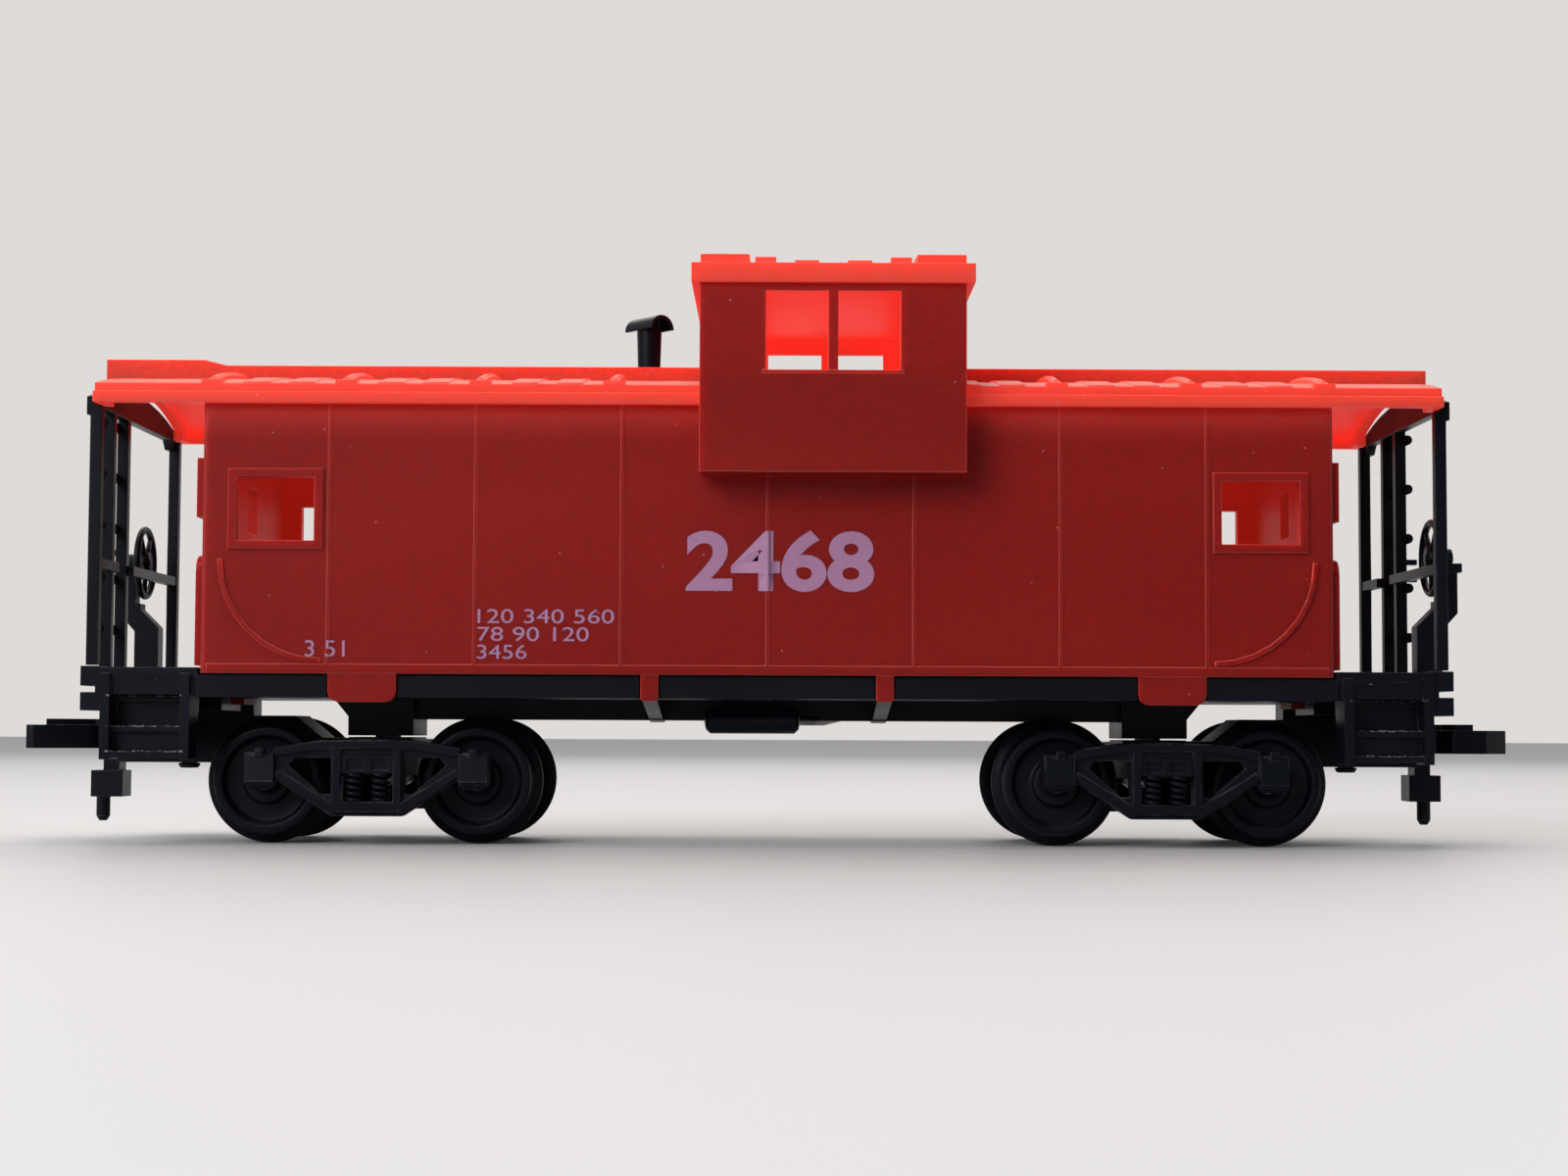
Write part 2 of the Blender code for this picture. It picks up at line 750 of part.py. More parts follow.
def cupola_shell(finish):
    half = cupola_width / 2
    fascia = fascia_width / 2 + fit_gap
    strip_top = eave_height + roof_skin + fit_gap
    block = box((cupola_low, cupola_high), (-half, half), (bay_bottom, cupola_top))
    bay_inner = half_width + seam_proud + fit_gap
    saddle = [(-bay_inner, 0.0), (bay_inner, 0.0), (bay_inner, fascia_bottom - fit_gap),
              (fascia, fascia_bottom - fit_gap), (fascia, strip_top)]
    saddle += arch(fascia - strip_inset, strip_top, ceiling_rise)
    saddle += [(-fascia, strip_top), (-fascia, fascia_bottom - fit_gap), (-bay_inner, fascia_bottom - fit_gap)]
    cut(block, prism(saddle, "X", -body_length, body_length))
    inner = half - cupola_wall
    floor_edge = cupola_window_bottom - fit_gap
    crown = roof_crown + fit_gap + cupola_floor
    room = [(-inner, cupola_top + mm), (-inner, floor_edge)]
    room += list(reversed(arch(inner - 0.5 * mm, floor_edge, crown - floor_edge)))
    room += [(inner, floor_edge), (inner, cupola_top + mm)]
    cut(block, prism(room, "X", cupola_low + cupola_wall, cupola_high - cupola_wall))
    pane = (cupola_window_span - cupola_mullion) / 2
    first = cupola_centre - cupola_window_span / 2
    for start in (first, first + pane + cupola_mullion):
        cut(block, box((start, start + pane), (-cupola_width, cupola_width),
                       (cupola_window_bottom, cupola_window_top)))
    sill_height = cupola_window_top - cupola_end_window_height
    for y_range in both_sides(cupola_end_window_gap / 2,
                              cupola_end_window_gap / 2 + cupola_end_window_width):
        cut(block, box((-body_length, body_length), y_range, (sill_height, cupola_window_top)))
    sill = half + 0.15 * mm
    reach = (first - 0.3 * mm, first + cupola_window_span + 0.3 * mm)
    for y_range in both_sides(half - cupola_wall / 2, sill):
        fused(block, box(reach, y_range, (cupola_window_bottom - 0.3 * mm, cupola_window_bottom)))
    return named(tidied(block), "cupola_shell", finish)


def cupola_roof(finish):
    low = cupola_low - cupola_roof_overhang
    high = cupola_high + cupola_roof_overhang
    half = cupola_width / 2 + cupola_roof_overhang
    ceiling = cupola_top + fit_gap
    eave = ceiling + cupola_eave
    plate = prism([(-half, ceiling - cupola_fascia), (half, ceiling - cupola_fascia)]
                  + arch(half, eave, cupola_rise), "X", low, high)
    fused(plate, *cupola_roof_details(low, high, half, eave))
    seat_x = cupola_length / 2 + fit_gap
    seat_y = cupola_width / 2 + fit_gap
    cut(plate, box((cupola_centre - seat_x, cupola_centre + seat_x), (-seat_y, seat_y), (0.0, ceiling)))
    return named(tidied(plate), "cupola_roof", finish)


def cupola_roof_details(low, high, half, eave):
    """End bands, two seam caps with ribs, and two lower caps between them."""
    inset = 0.4 * mm
    def strip(x_range, height):
        outer = arch(half - inset, eave + height, cupola_rise)
        inner = [(y, z - height - cupola_eave / 2) for y, z in reversed(outer)]
        return prism(outer + inner, "X", *x_range)
    start, end = low + cupola_band_inset, high - cupola_band_inset
    pieces = [strip((start, start + cupola_band_length), cupola_band_height),
              strip((end - cupola_band_length, end), cupola_band_height)]
    for sign in (-1, 1):
        x = cupola_centre + sign * cupola_cap_offset
        pieces.append(strip((x - 0.4 * mm, x + 0.4 * mm), cupola_rib_height))
        for y_range in both_sides(half - inset - rib_cap_depth, half - inset):
            pieces.append(box((x - mm, x + mm), y_range, (eave - 0.3 * mm, eave + 0.6 * mm)))
            x_low = cupola_centre + sign * cupola_bump_offset
            pieces.append(box((x_low - 1.15 * mm, x_low + 1.15 * mm), y_range,
                              (eave - 0.3 * mm, eave + 0.3 * mm)))
    return pieces


# ---------------------------------------------------------------- smoke jack

def smoke_jack(finish):
    radius = jack_diameter / 2
    pipe = turned([(radius * 0.86, eave_height + mm), (radius * 0.86, roof_crown + mm), (radius, jack_top)],
                  16, "Z", (jack_x, jack_y, 0.0))
    foot = cylinder(jack_foot_diameter / 2, eave_height, roof_crown + jack_foot_height, 16, "Z",
                    (jack_x, jack_y, 0.0))
    strip = fascia_width / 2 - strip_inset
    under = [(-strip, 0.0), (strip, 0.0)] + arch(strip, eave_height + roof_skin + fit_gap, ceiling_rise)
    fused(pipe, cut(foot, prism(under, "X", -half_length, 0.0)))
    arc = [(jack_hood_radius * math.cos(math.pi * step / 8), jack_hood_radius * math.sin(math.pi * step / 8))
           for step in range(9)]
    inside = jack_hood_radius - jack_hood_wall
    arc += [(inside * math.cos(math.pi * step / 8), inside * math.sin(math.pi * step / 8))
            for step in range(8, -1, -1)]
    hood = prism(arc, "X", -jack_hood_length / 2, jack_hood_length / 2)
    web = box((-radius * 0.8, radius * 0.8), (-0.3 * mm, 0.3 * mm), (-0.4 * mm, jack_hood_radius - 0.1 * mm))
    base = jack_top - 0.1 * mm
    fused(pipe, moved(web, jack_x, jack_y, base, jack_turn), moved(hood, jack_x, jack_y, base, jack_turn))
    return named(tidied(pipe), "smoke_jack", finish, 40)


# ---------------------------------------------------------------- underframe

def underframe(finish):
    half = floor_width / 2
    slab_end = half_length + 0.3 * mm
    frame = box((-slab_end, slab_end), (-half, half), (floor_bottom, floor_top))
    ledge_x = half_length - end_wall - slide_gap
    ledge_y = half_width - side_wall - slide_gap
    fused(frame, box((-ledge_x, ledge_x), (-ledge_y, ledge_y), (floor_top - mm, floor_top + ledge_height)))
    inner = truck_centre - pillar_half + mm
    sill = centre_sill_width / 2
    fused(frame, box((-inner, inner), (-sill, sill), (centre_sill_bottom, floor_bottom + 0.5 * mm)))
    fused(frame, *cross_bearers())
    gate = turned([(gate_radius, centre_sill_bottom + 0.3 * mm), (gate_radius, centre_sill_bottom),
                   (gate_radius * 0.55, centre_sill_bottom - gate_height), (0.0, centre_sill_bottom - gate_height)],
                  16, "Z", (3.5 * mm, 0.0, 0.0))
    fused(frame, gate)
    for turn in (0.0, math.pi):
        fused(frame, *[moved(piece, turn=turn) for piece in end_platform()])
    cut(frame, *tab_notches())
    return named(tidied(frame), "underframe", finish)


def cross_bearers():
    """Ribs that slope down from the side clips to the centre sill."""
    outer = half_width - side_wall - slide_gap
    low = centre_sill_bottom - bearer_drop
    outline = [(-outer, clip_bottom), (-1.2 * mm, low), (1.2 * mm, low), (outer, clip_bottom),
               (outer, floor_bottom + 0.4 * mm), (-outer, floor_bottom + 0.4 * mm)]
    width = clip_width - 0.3 * mm
    return [prism(outline, "X", sign * clip_centre - width / 2, sign * clip_centre + width / 2)
            for sign in (-1, 1)]


def tab_notches():
    """Clearance in the floor for every tab of the body shell."""
    pieces = []
    for y_range in both_sides(half_width - side_wall - slide_gap, body_width):
        for centre, width in ((skirt_centre, skirt_width), (clip_centre, clip_width)):
            for sign in (-1, 1):
                reach = width / 2 + slide_gap
                pieces.append(box((sign * centre - reach, sign * centre + reach), y_range,
                                  (skirt_bottom - mm, floor_top + mm)))
    half = end_tab_width / 2 + slide_gap
    for sign in (-1, 1):
        x_range = sorted((sign * (half_length - end_wall - slide_gap), sign * (half_length + slide_gap)))
        pieces.append(box(x_range, (-half, half), (draft_sill_bottom - mm, deck_top + mm)))
    return pieces


def end_platform():
    """Body bolster, deck, end beams and steps of end b, with a bore for the truck's pin."""
    half = deck_width / 2
    low_x = half_length + 2 * fit_gap
    bottom = bolster_top + slide_gap
    pillar = prism([(-pillar_half, bottom), (pillar_half, bottom), (pillar_half, bottom + 1.9 * mm),
                    (pillar_half + 1.7 * mm, floor_bottom + 0.3 * mm), (-pillar_half, floor_bottom + 0.3 * mm)],
                   "Y", -pillar_width / 2, pillar_width / 2)
    moved(pillar, x=truck_centre)
    cut(pillar, cylinder(pin_radius + fit_gap, 0.0, bottom + pin_depth + fit_gap, 16, "Z",
                         (truck_centre, 0.0, 0.0)))
    outer_x = deck_end + end_beam_proud
    pieces = [pillar,
              box((low_x, deck_end), (-half, half), (deck_top - deck_thickness, deck_top)),
              box((deck_end - end_beam_depth, deck_end), (-half, half), (beam_lower_bottom, deck_top)),
              box((deck_end - 0.5 * mm, outer_x), (-half, half), (beam_upper_bottom, deck_top + fit_gap)),
              box((deck_end - 0.5 * mm, outer_x), (-half, half), (beam_lower_bottom, beam_lower_top)),
              box((half_length + 0.5 * mm, half_length + 0.5 * mm + draft_sill_length),
                  (-draft_sill_width / 2, draft_sill_width / 2), (draft_sill_bottom, deck_top - mm / 2))]
    for y_range in both_sides(half - 1.4 * mm, half - 0.1 * mm):
        pieces.append(box((half_length - 2 * mm, deck_end), y_range, (floor_bottom + 0.2 * mm, floor_top)))
    pieces += steps()
    mouth = box((deck_end - end_beam_depth - mm, outer_x + mm), (-beam_opening / 2, beam_opening / 2),
                (beam_lower_bottom - mm, beam_lower_top))
    platform = pieces[1]
    fused(platform, *pieces[2:])
    return [pillar, cut(platform, mouth)]


def steps():
    """A stepwell at each corner: two side plates and three treads with risers behind them."""
    pieces = []
    end = step_start + step_length
    run = (step_outer - step_inner) / 4
    for side in (-1, 1):
        plate = [(side * step_outer, step_bottom), (side * step_outer, deck_top - 0.6 * mm),
                 (side * step_inner, deck_top - 0.6 * mm), (side * (step_outer - 2.6 * run), step_bottom)]
        for x_range in ((step_start, step_start + step_plate), (end - step_plate, end)):
            pieces.append(prism(plate, "X", *x_range))
        stair = [(side * (step_outer - 0.2 * mm), tread_heights[0] - tread_thickness),
                 (side * (step_outer - 0.2 * mm), tread_heights[0])]
        for index, height in enumerate(tread_heights[1:] + (deck_top - 0.5 * mm,)):
            y = step_outer - 0.2 * mm - run * (index + 1)
            stair += [(side * y, tread_heights[index]), (side * y, height - tread_thickness),
                      (side * (y + 0.5 * mm), height - tread_thickness), (side * (y + 0.5 * mm), height)]
        stair += [(side * (step_inner - 0.4 * mm), deck_top - 0.5 * mm),
                  (side * (step_outer - 3.0 * run), tread_heights[0] - tread_thickness)]
        pieces.append(prism(stair, "X", step_start + step_plate / 2, end - step_plate / 2))
    return pieces


def steel_weight(finish):
    bottom = floor_top + ledge_height + fit_gap
    plate = box((-weight_length / 2, weight_length / 2), (-weight_width / 2, weight_width / 2),
                (bottom, bottom + weight_thickness))
    bm = bmesh.new()
    bm.from_mesh(plate.data)
    bmesh.ops.bevel(bm, geom=bm.edges, offset=weight_bevel, segments=1, affect="EDGES")
    bm.to_mesh(plate.data)
    bm.free()
    return named(plate, "steel_weight", finish)


def air_tank(finish):
    """A tank with domed ends, held by two straps to the underside of the floor."""
    half = tank_length / 2
    dome = tank_radius * 0.45
    profile = [(0.0, -half), (tank_radius * 0.7, -half + dome * 0.3), (tank_radius, -half + dome),
               (tank_radius, half - dome), (tank_radius * 0.7, half - dome * 0.3), (0.0, half)]
    top = floor_bottom - fit_gap
    drop = top - tank_radius - 0.5 * mm
    tank = turned(profile, 16, "X", (tank_x, -tank_y, drop))
    for sign in (-1, 1):
        x = tank_x + sign * tank_length / 4
        fused(tank, box((x - tank_strap_width / 2, x + tank_strap_width / 2),
                        (-tank_y - tank_radius * 0.8, -tank_y + tank_radius * 0.8), (drop, top)))
    return named(tidied(tank), "air_tank", finish, 40)


# ---------------------------------------------------------------- end railing, ladder and hand brake

def end_railing(finish):
    inner = post_outer - post_size
    foot = deck_top + 2 * fit_gap
    outboard = post_inboard + post_size
    posts_top = fascia_bottom - fit_gap
    arch_start = roof_length / 2 + fit_gap
    arch_range = (arch_start, arch_start + end_arch_depth)
    strip = fascia_width / 2 - strip_inset
    beam = [(-post_outer, end_arch_bottom - cap_height), (-inner + 0.6 * mm, end_arch_bottom - cap_height),
            (-inner + 1.6 * mm, end_arch_bottom), (inner - 1.6 * mm, end_arch_bottom),
            (inner - 0.6 * mm, end_arch_bottom - cap_height), (post_outer, end_arch_bottom - cap_height)]
    beam += arch(post_outer, fascia_bottom + 0.75 * mm, ceiling_rise)
    railing = prism(beam, "X", *arch_range)
    for y_range in both_sides(inner, post_outer):
        fused(railing, box((post_inboard, outboard), y_range, (foot, posts_top)),
              box((post_inboard, arch_range[1]), y_range, (end_arch_bottom - cap_height, posts_top)))
    stile_x = (ladder_inboard, ladder_inboard + ladder_stile)
    for y_range in ((ladder_inner, ladder_inner + ladder_stile), (ladder_outer - ladder_stile, ladder_outer)):
        fused(railing, box(stile_x, y_range, (foot, end_arch_bottom + 0.5 * mm)))
    rail_x = (post_inboard + 0.1 * mm, post_inboard + 0.1 * mm + mid_rail_size)
    rail_z = (mid_rail_height - mid_rail_size / 2, mid_rail_height + mid_rail_size / 2)
    fused(railing, box(rail_x, (-inner - 0.3 * mm, ladder_inner + 0.5 * mm), rail_z),
          box(rail_x, (ladder_outer - 0.5 * mm, inner + 0.3 * mm), rail_z))
    rung_x = stile_x[1] - rung_overlap + rung_diameter / 2
    clamp_x = (stile_x[1] - rung_overlap, stile_x[1] + clamp_size)
    for z in (clamp_height, clamp_height - 1.6 * clamp_size):
        fused(railing, box(clamp_x, (ladder_inner + 0.1 * mm, ladder_inner + clamp_size),
                           (z - clamp_size / 4, z + clamp_size / 4)))
    for height in rung_heights:
        fused(railing, turned([(rung_diameter / 2, ladder_inner - 0.3 * mm),
                               (rung_diameter / 2, ladder_outer + 0.1 * mm)], 8, "Y",
                              (rung_x, 0.0, height), math.pi / 8))
    return named(tidied(railing), "end_railing_b", finish)


def brake_stand(finish):
    """Pedestal, sloping shoulder and gear housing, with a peg for the brake wheel."""
    foot = deck_top + 2 * fit_gap
    face = brake_wheel_x + brake_hub
    centre = wheel_centre_height
    top = centre - brake_hub * 0.8
    shelf = top - stand_width * 0.4
    elbow = centre - brake_wheel_radius - 0.45 * mm
    shoulder = elbow - 0.6 * mm
    knee = shoulder - (stand_neck - stand_inboard)
    outline = [(stand_inboard, foot), (stand_inboard, knee), (stand_neck, shoulder), (stand_neck, elbow),
               (face, elbow), (face, top), (stand_outboard, top), (stand_outboard, shoulder - 0.6 * mm),
               (face, knee - 0.4 * mm), (face, foot)]
    stand = prism(outline, "Y", -brake_y - stand_width / 2, -brake_y + stand_width / 2)
    wide = stand_width * 0.73
    fused(stand, box((face, stand_outboard + stand_shelf), (-brake_y - wide, -brake_y + wide), (shelf, top)),
          cylinder(brake_hub * 1.27, face, stand_outboard - stand_shelf, 12, "X", (0.0, -brake_y, centre)),
          cylinder(brake_peg, brake_wheel_x - brake_hub * 0.8, face + brake_hub * 0.7, 12, "X",
                   (0.0, -brake_y, centre)))
    return named(tidied(stand), "brake_stand_b", finish)


def brake_wheel(finish):
    """A spoked hand wheel, pushed on the stand's peg."""
    rim = []
    for step in range(7):
        angle = 2 * math.pi * step / 6
        rim.append((brake_wheel_radius - brake_rim + brake_rim * math.cos(angle), brake_rim * math.sin(angle)))
    rim[-1] = rim[0]
    wheel = turned(rim, 24, "X")
    hub = cylinder(1.1 * mm, -brake_rim * 1.4, brake_rim * 1.4, 12, "X")
    fused(hub, *[spoke(2 * math.pi * index / brake_spokes) for index in range(brake_spokes)])
    fused(wheel, hub)
    cut(wheel, cylinder(brake_peg + fit_gap, -mm, mm, 12, "X"))
    return named(moved(tidied(wheel), brake_wheel_x, -brake_y, wheel_centre_height), "brake_wheel_b", finish, 50)


def spoke(angle):
    bar = box((-0.22 * mm, 0.22 * mm), (-0.32 * mm, 0.32 * mm), (0.7 * mm, brake_wheel_radius - brake_rim * 1.2))
    bar.data.transform(Matrix.Rotation(angle, 4, "X"))
    return bar


# ---------------------------------------------------------------- trucks

def frame_outline():
    """Half of a cast side frame, from the crown round the journal box to the bottom chord."""
    axle = wheelbase / 2
    inner = axle - journal_half
    outer = axle + journal_half
    return [(0.0, frame_top), (4.5 * mm, frame_top - 0.1 * mm), (inner - 0.2 * mm, frame_top - 0.75 * mm),
            (inner + 0.3 * mm, journal_top), (outer, journal_top), (outer, journal_bottom + 0.6 * mm),
            (outer - 0.6 * mm, journal_bottom), (inner + 0.5 * mm, journal_bottom), (inner - 0.1 * mm, 6.2 * mm),
            (3.4 * mm, frame_bottom), (0.0, frame_bottom)]


def side_frame(sign):
    """A side frame with two open triangles, a spring pocket, coil springs and journal lids."""
    half = frame_outline()
    outline = half + [(-x, z) for x, z in reversed(half[1:-1])]
    y_range = sorted((sign * frame_inner, sign * (frame_outer - frame_face_depth)))
    plate = prism(outline, "Y", *y_range)
    through = sorted((sign * (frame_inner - 2 * mm), sign * (frame_outer + mm)))
    for side in (-1, 1):
        triangle = [(side * window_near, window_top), (side * (window_far - 0.6 * mm), window_top),
                    (side * window_far, window_top - 0.7 * mm), (side * (window_near + 0.9 * mm), window_bottom),
                    (side * window_near, window_bottom)]
        cut(plate, prism(triangle, "Y", *through))
    cut(plate, box((-spring_window_half, spring_window_half), through, (spring_seat - 0.1 * mm, chord_top)))
    outer_face = sorted((sign * (frame_inner + mm), sign * frame_outer))
    flange = sorted((sign * (frame_outer - frame_face_depth - 0.2 * mm), sign * frame_outer))
    rim = [(wheelbase / 2 - journal_half + 0.25 * mm, frame_top - 0.85 * mm), (4.5 * mm, frame_top - 0.15 * mm)]
    rim += [(-x, z) for x, z in reversed(rim)]
    rim += [(x * 0.98, z - flange_depth) for x, z in reversed(rim)]
    seat_half = spring_window_half + 0.3 * mm
    pieces = [prism(rim, "Y", *flange),
              box((-seat_half, seat_half), outer_face, (spring_cap, chord_top - 0.3 * mm)),
              box((-seat_half, seat_half), outer_face, (frame_bottom + 0.4 * mm, spring_seat))]
    middle = (frame_inner + frame_outer - frame_face_depth) / 2
    journal_inner = wheelbase / 2 - journal_half
    for side in (-1, 1):
        pieces.append(box(sorted((side * (spring_window_half - 0.1 * mm), side * (window_near - 0.2 * mm))), flange,
                          (frame_bottom + 0.6 * mm, frame_top - 0.8 * mm)))
        chord = [(side * (window_near - 0.5 * mm), frame_bottom + 0.3 * mm),
                 (side * (window_near + 0.2 * mm), frame_bottom + 0.4 * mm),
                 (side * (journal_inner + 0.15 * mm), journal_bottom + 1.3 * mm),
                 (side * (journal_inner - 0.15 * mm), journal_bottom + 1.9 * mm),
                 (side * (window_near - 0.5 * mm), frame_bottom + 1.1 * mm)]
        pieces.append(prism(chord, "Y", *flange))
        pieces.append(journal_lid(side * wheelbase / 2, sign))
        pieces.append(moved(spring(), side * spring_spacing / 2, sign * middle))
    fused(plate, *pieces)
    for side in (-1, 1):
        cup = turned([(axle_radius + bearing_gap, frame_inner - mm),
                      (axle_radius + bearing_gap, axle_half_length - axle_point_length + bearing_gap),
                      (0.0, axle_half_length + bearing_gap)], axle_segments, "Y", (side * wheelbase / 2, 0.0, axle_height))
        if sign < 0:
            cup.data.transform(Matrix.Scale(-1, 4, Vector((0.0, 1.0, 0.0))))
            cup.data.flip_normals()
        cut(plate, cup)
    return plate


def journal_lid(x, sign):
    """The journal box, whose lid leans back at the top, with a hinge lug."""
    face = frame_outer
    outline = [(frame_inner + mm, journal_bottom + 0.3 * mm), (face - 0.1 * mm, journal_bottom + 0.3 * mm),
               (face + 0.35 * mm, journal_bottom + 0.7 * mm), (face, journal_top - 0.1 * mm),
               (frame_inner + mm, journal_top - 0.1 * mm)]
    lid = prism([(sign * y, z) for y, z in outline], "X", x - journal_half + 0.15 * mm, x + journal_half - 0.15 * mm)
    lug_y = sorted((sign * (face - mm), sign * (face + 0.2 * mm)))
    return fused(lid, box((x - 0.4 * mm, x + 0.4 * mm), lug_y, (journal_top - 0.5 * mm, journal_top + 0.35 * mm)))


def spring():
    """A stack of coils between the lower chord and the bolster end."""
    low, high = spring_seat - 0.2 * mm, spring_cap + 0.2 * mm
    pitch = (high - low) / spring_coils
    profile = []
    for coil in range(spring_coils):
        base = low + coil * pitch
        profile += [(spring_radius * 0.78, base), (spring_radius, base + pitch * 0.3),
                    (spring_radius, base + pitch * 0.7)]
    profile.append((spring_radius * 0.78, high))
    return turned(profile, 6, "Z")


def truck_frame(finish):
    """One moulding: two side frames, the bolster and the coupler arm with its pocket."""
    bolster = box((-bolster_half, bolster_half), (-frame_inner - 0.5 * mm, frame_inner + 0.5 * mm),
                  (bolster_bottom, bolster_top - 0.4 * mm))
    seat = pillar_width / 2
    fused(bolster, box((-bolster_half, bolster_half), (-seat, seat), (bolster_bottom + mm, bolster_top)))
    fused(bolster, side_frame(1), side_frame(-1))
    reach = arm_end - truck_centre
    outline = [(bolster_half - mm, arm_bottom), (reach, arm_bottom), (reach, arm_top), (arm_shoulder, arm_top),
               (arm_start, bolster_top - 0.1 * mm), (bolster_half - mm, bolster_top - 0.1 * mm)]
    arm = prism(outline, "Y", -arm_width / 2, arm_width / 2)
    pocket = box((reach - pocket_depth, reach + mm), (-pocket_width / 2, pocket_width / 2),
                 (pocket_bottom, pocket_top))
    pivot = coupler_pivot - truck_centre
    bore = cylinder(coupler_pin_radius + fit_gap, 0.0, arm_top - 0.3 * mm, 12, "Z", (pivot, 0.0, 0.0))
    fused(bolster, cut(arm, pocket, bore))
    cut(bolster, cylinder(pin_radius + slide_gap, 0.0, bolster_top + mm, 16))
    return named(tidied(bolster), "truck_frame_b", finish)


def truck_pin(finish):
    """The push pin on which a truck swivels."""
    head_top = bolster_bottom - fit_gap
    tip = bolster_top + slide_gap + pin_depth
    profile = [(pin_head_radius * 0.8, head_top - pin_head_height), (pin_head_radius, head_top - pin_head_height * 0.6),
               (pin_head_radius, head_top), (pin_radius, head_top), (pin_radius, tip - 0.5 * mm),
               (pin_radius * 0.6, tip)]
    return named(turned(profile, 16), "truck_pin_b", finish, 40)


def wheel(finish):
    """A deep-flanged wheel on the +Y end of an axle, its tread coned and its plate dished."""
    scale = 1 / math.cos(math.pi / wheel_segments)
    low = wheel_inner_face
    high = low + wheel_width
    bore = (axle_radius + fit_gap) * scale
    profile = [(bore, low), (flange_radius - 0.2 * mm, low), (flange_radius, low + 0.35 * mm),
               (flange_radius - 0.1 * mm, low + flange_thickness),
               (tread_radius + 0.1 * mm, low + flange_thickness + 0.3 * mm),
               (tread_radius - 0.1 * mm, high), (4.4 * mm, high), (4.1 * mm, high - 0.7 * mm),
               (2.5 * mm, high - 0.8 * mm), (2.2 * mm, high - 0.1 * mm), (bore, high - 0.1 * mm), (bore, low)]
    outer = [(radius * scale if radius > bore else radius, height) for radius, height in profile]
    turn = math.pi / wheel_segments
    return named(turned(outer, wheel_segments, "Y", offset_angle=turn), "wheel", finish, 35)


def axle(finish):
    """A turned steel axle with pointed ends."""
    tip = axle_half_length
    stub = tip - axle_point_length
    profile = [(0.0, -tip), (axle_radius * 0.8, -stub), (axle_radius, -stub + 0.3 * mm),
               (axle_radius, stub - 0.3 * mm), (axle_radius * 0.8, stub), (0.0, tip)]
    return named(turned(profile, axle_segments, "Y"), "axle", finish, 40)


def horn_hook():
    """The coupler head in plan: a hook on one side, a slanted horn on the other."""
    x = head_start - coupler_pivot
    reach = coupler_tip - coupler_pivot
    half = shank_half
    return [(x - 3.0 * mm, -half), (x, -half), (x + 1.2 * mm, -3.0 * mm), (x + 4.6 * mm, -3.1 * mm),
            (reach, -1.0 * mm), (reach, 0.4 * mm), (reach - 1.6 * mm, 1.0 * mm), (reach - 1.9 * mm, -0.6 * mm),
            (x + 3.2 * mm, -0.9 * mm), (x + 2.6 * mm, 0.2 * mm), (x + 3.4 * mm, 1.5 * mm),
            (x + 6.3 * mm, 3.7 * mm), (x + 6.4 * mm, 4.5 * mm), (x + 5.7 * mm, 4.7 * mm),
            (x + 1.4 * mm, 2.7 * mm), (x, half), (x - 3.0 * mm, half)]


def coupler(finish):
    """Horn-hook coupler: eye, centring leaf, shank, head, drop block and trip pin."""
    eye = turned([(coupler_eye_radius, coupler_bottom), (coupler_eye_radius, coupler_top)], 16)
    x = head_start - coupler_pivot
    neck = x - 2.0 * mm
    fused(eye, box((0.0, neck), (-shank_half, shank_half), (coupler_bottom, coupler_top)),
          box((-4.6 * mm, 0.0), (-0.35 * mm, 0.35 * mm), (coupler_bottom + 0.2 * mm, coupler_top - 0.2 * mm)),
          prism(horn_hook(), "Z", coupler_bottom, coupler_top))
    cap_x = (arm_end - coupler_pivot + mm, coupler_tip - coupler_pivot - head_cap_setback)
    fused(eye, prism([(cap_x[0], -0.9 * mm), (x + 0.6 * mm, -0.9 * mm), (x + 1.6 * mm, -2.6 * mm),
                      (cap_x[1], -2.6 * mm), (cap_x[1], -1.1 * mm), (x + 2.6 * mm, -0.8 * mm),
                      (x + 1.9 * mm, 1.2 * mm), (cap_x[0], 0.9 * mm)], "Z",
                     coupler_top - 0.2 * mm, coupler_top + head_cap_height),
          prism([(x + 0.3 * mm, 1.0 * mm), (x + 2.0 * mm, 0.6 * mm), (x + 3.0 * mm, 1.7 * mm),
                 (x + 4.6 * mm, 2.9 * mm), (x + 4.6 * mm, 3.9 * mm), (x + 1.5 * mm, 2.4 * mm)], "Z",
                coupler_top - 0.2 * mm, coupler_top + head_cap_height))
    column = trip_column_start - coupler_pivot
    block = trip_block_start - coupler_pivot
    fused(eye, box((column, column + trip_column_length), (-0.9 * shank_half, 1.2 * shank_half),
                   (trip_block_bottom, coupler_bottom + 0.4 * mm)),
          box((block, block + trip_block_length), (-0.9 * shank_half, 1.8 * shank_half),
              (trip_block_bottom, trip_block_top)),
          turned([(trip_pin_radius * 0.55, trip_pin_bottom), (trip_pin_radius, trip_pin_bottom + trip_pin_radius * 0.7),
                  (trip_pin_radius, trip_block_bottom + mm)], 12, "Z",
                 (trip_pin_x - coupler_pivot, trip_pin_y, 0.0)))
    cut(eye, cylinder(coupler_pin_radius + slide_gap, 0.0, arm_top, 12))
    return named(tidied(eye), "coupler_b", finish)


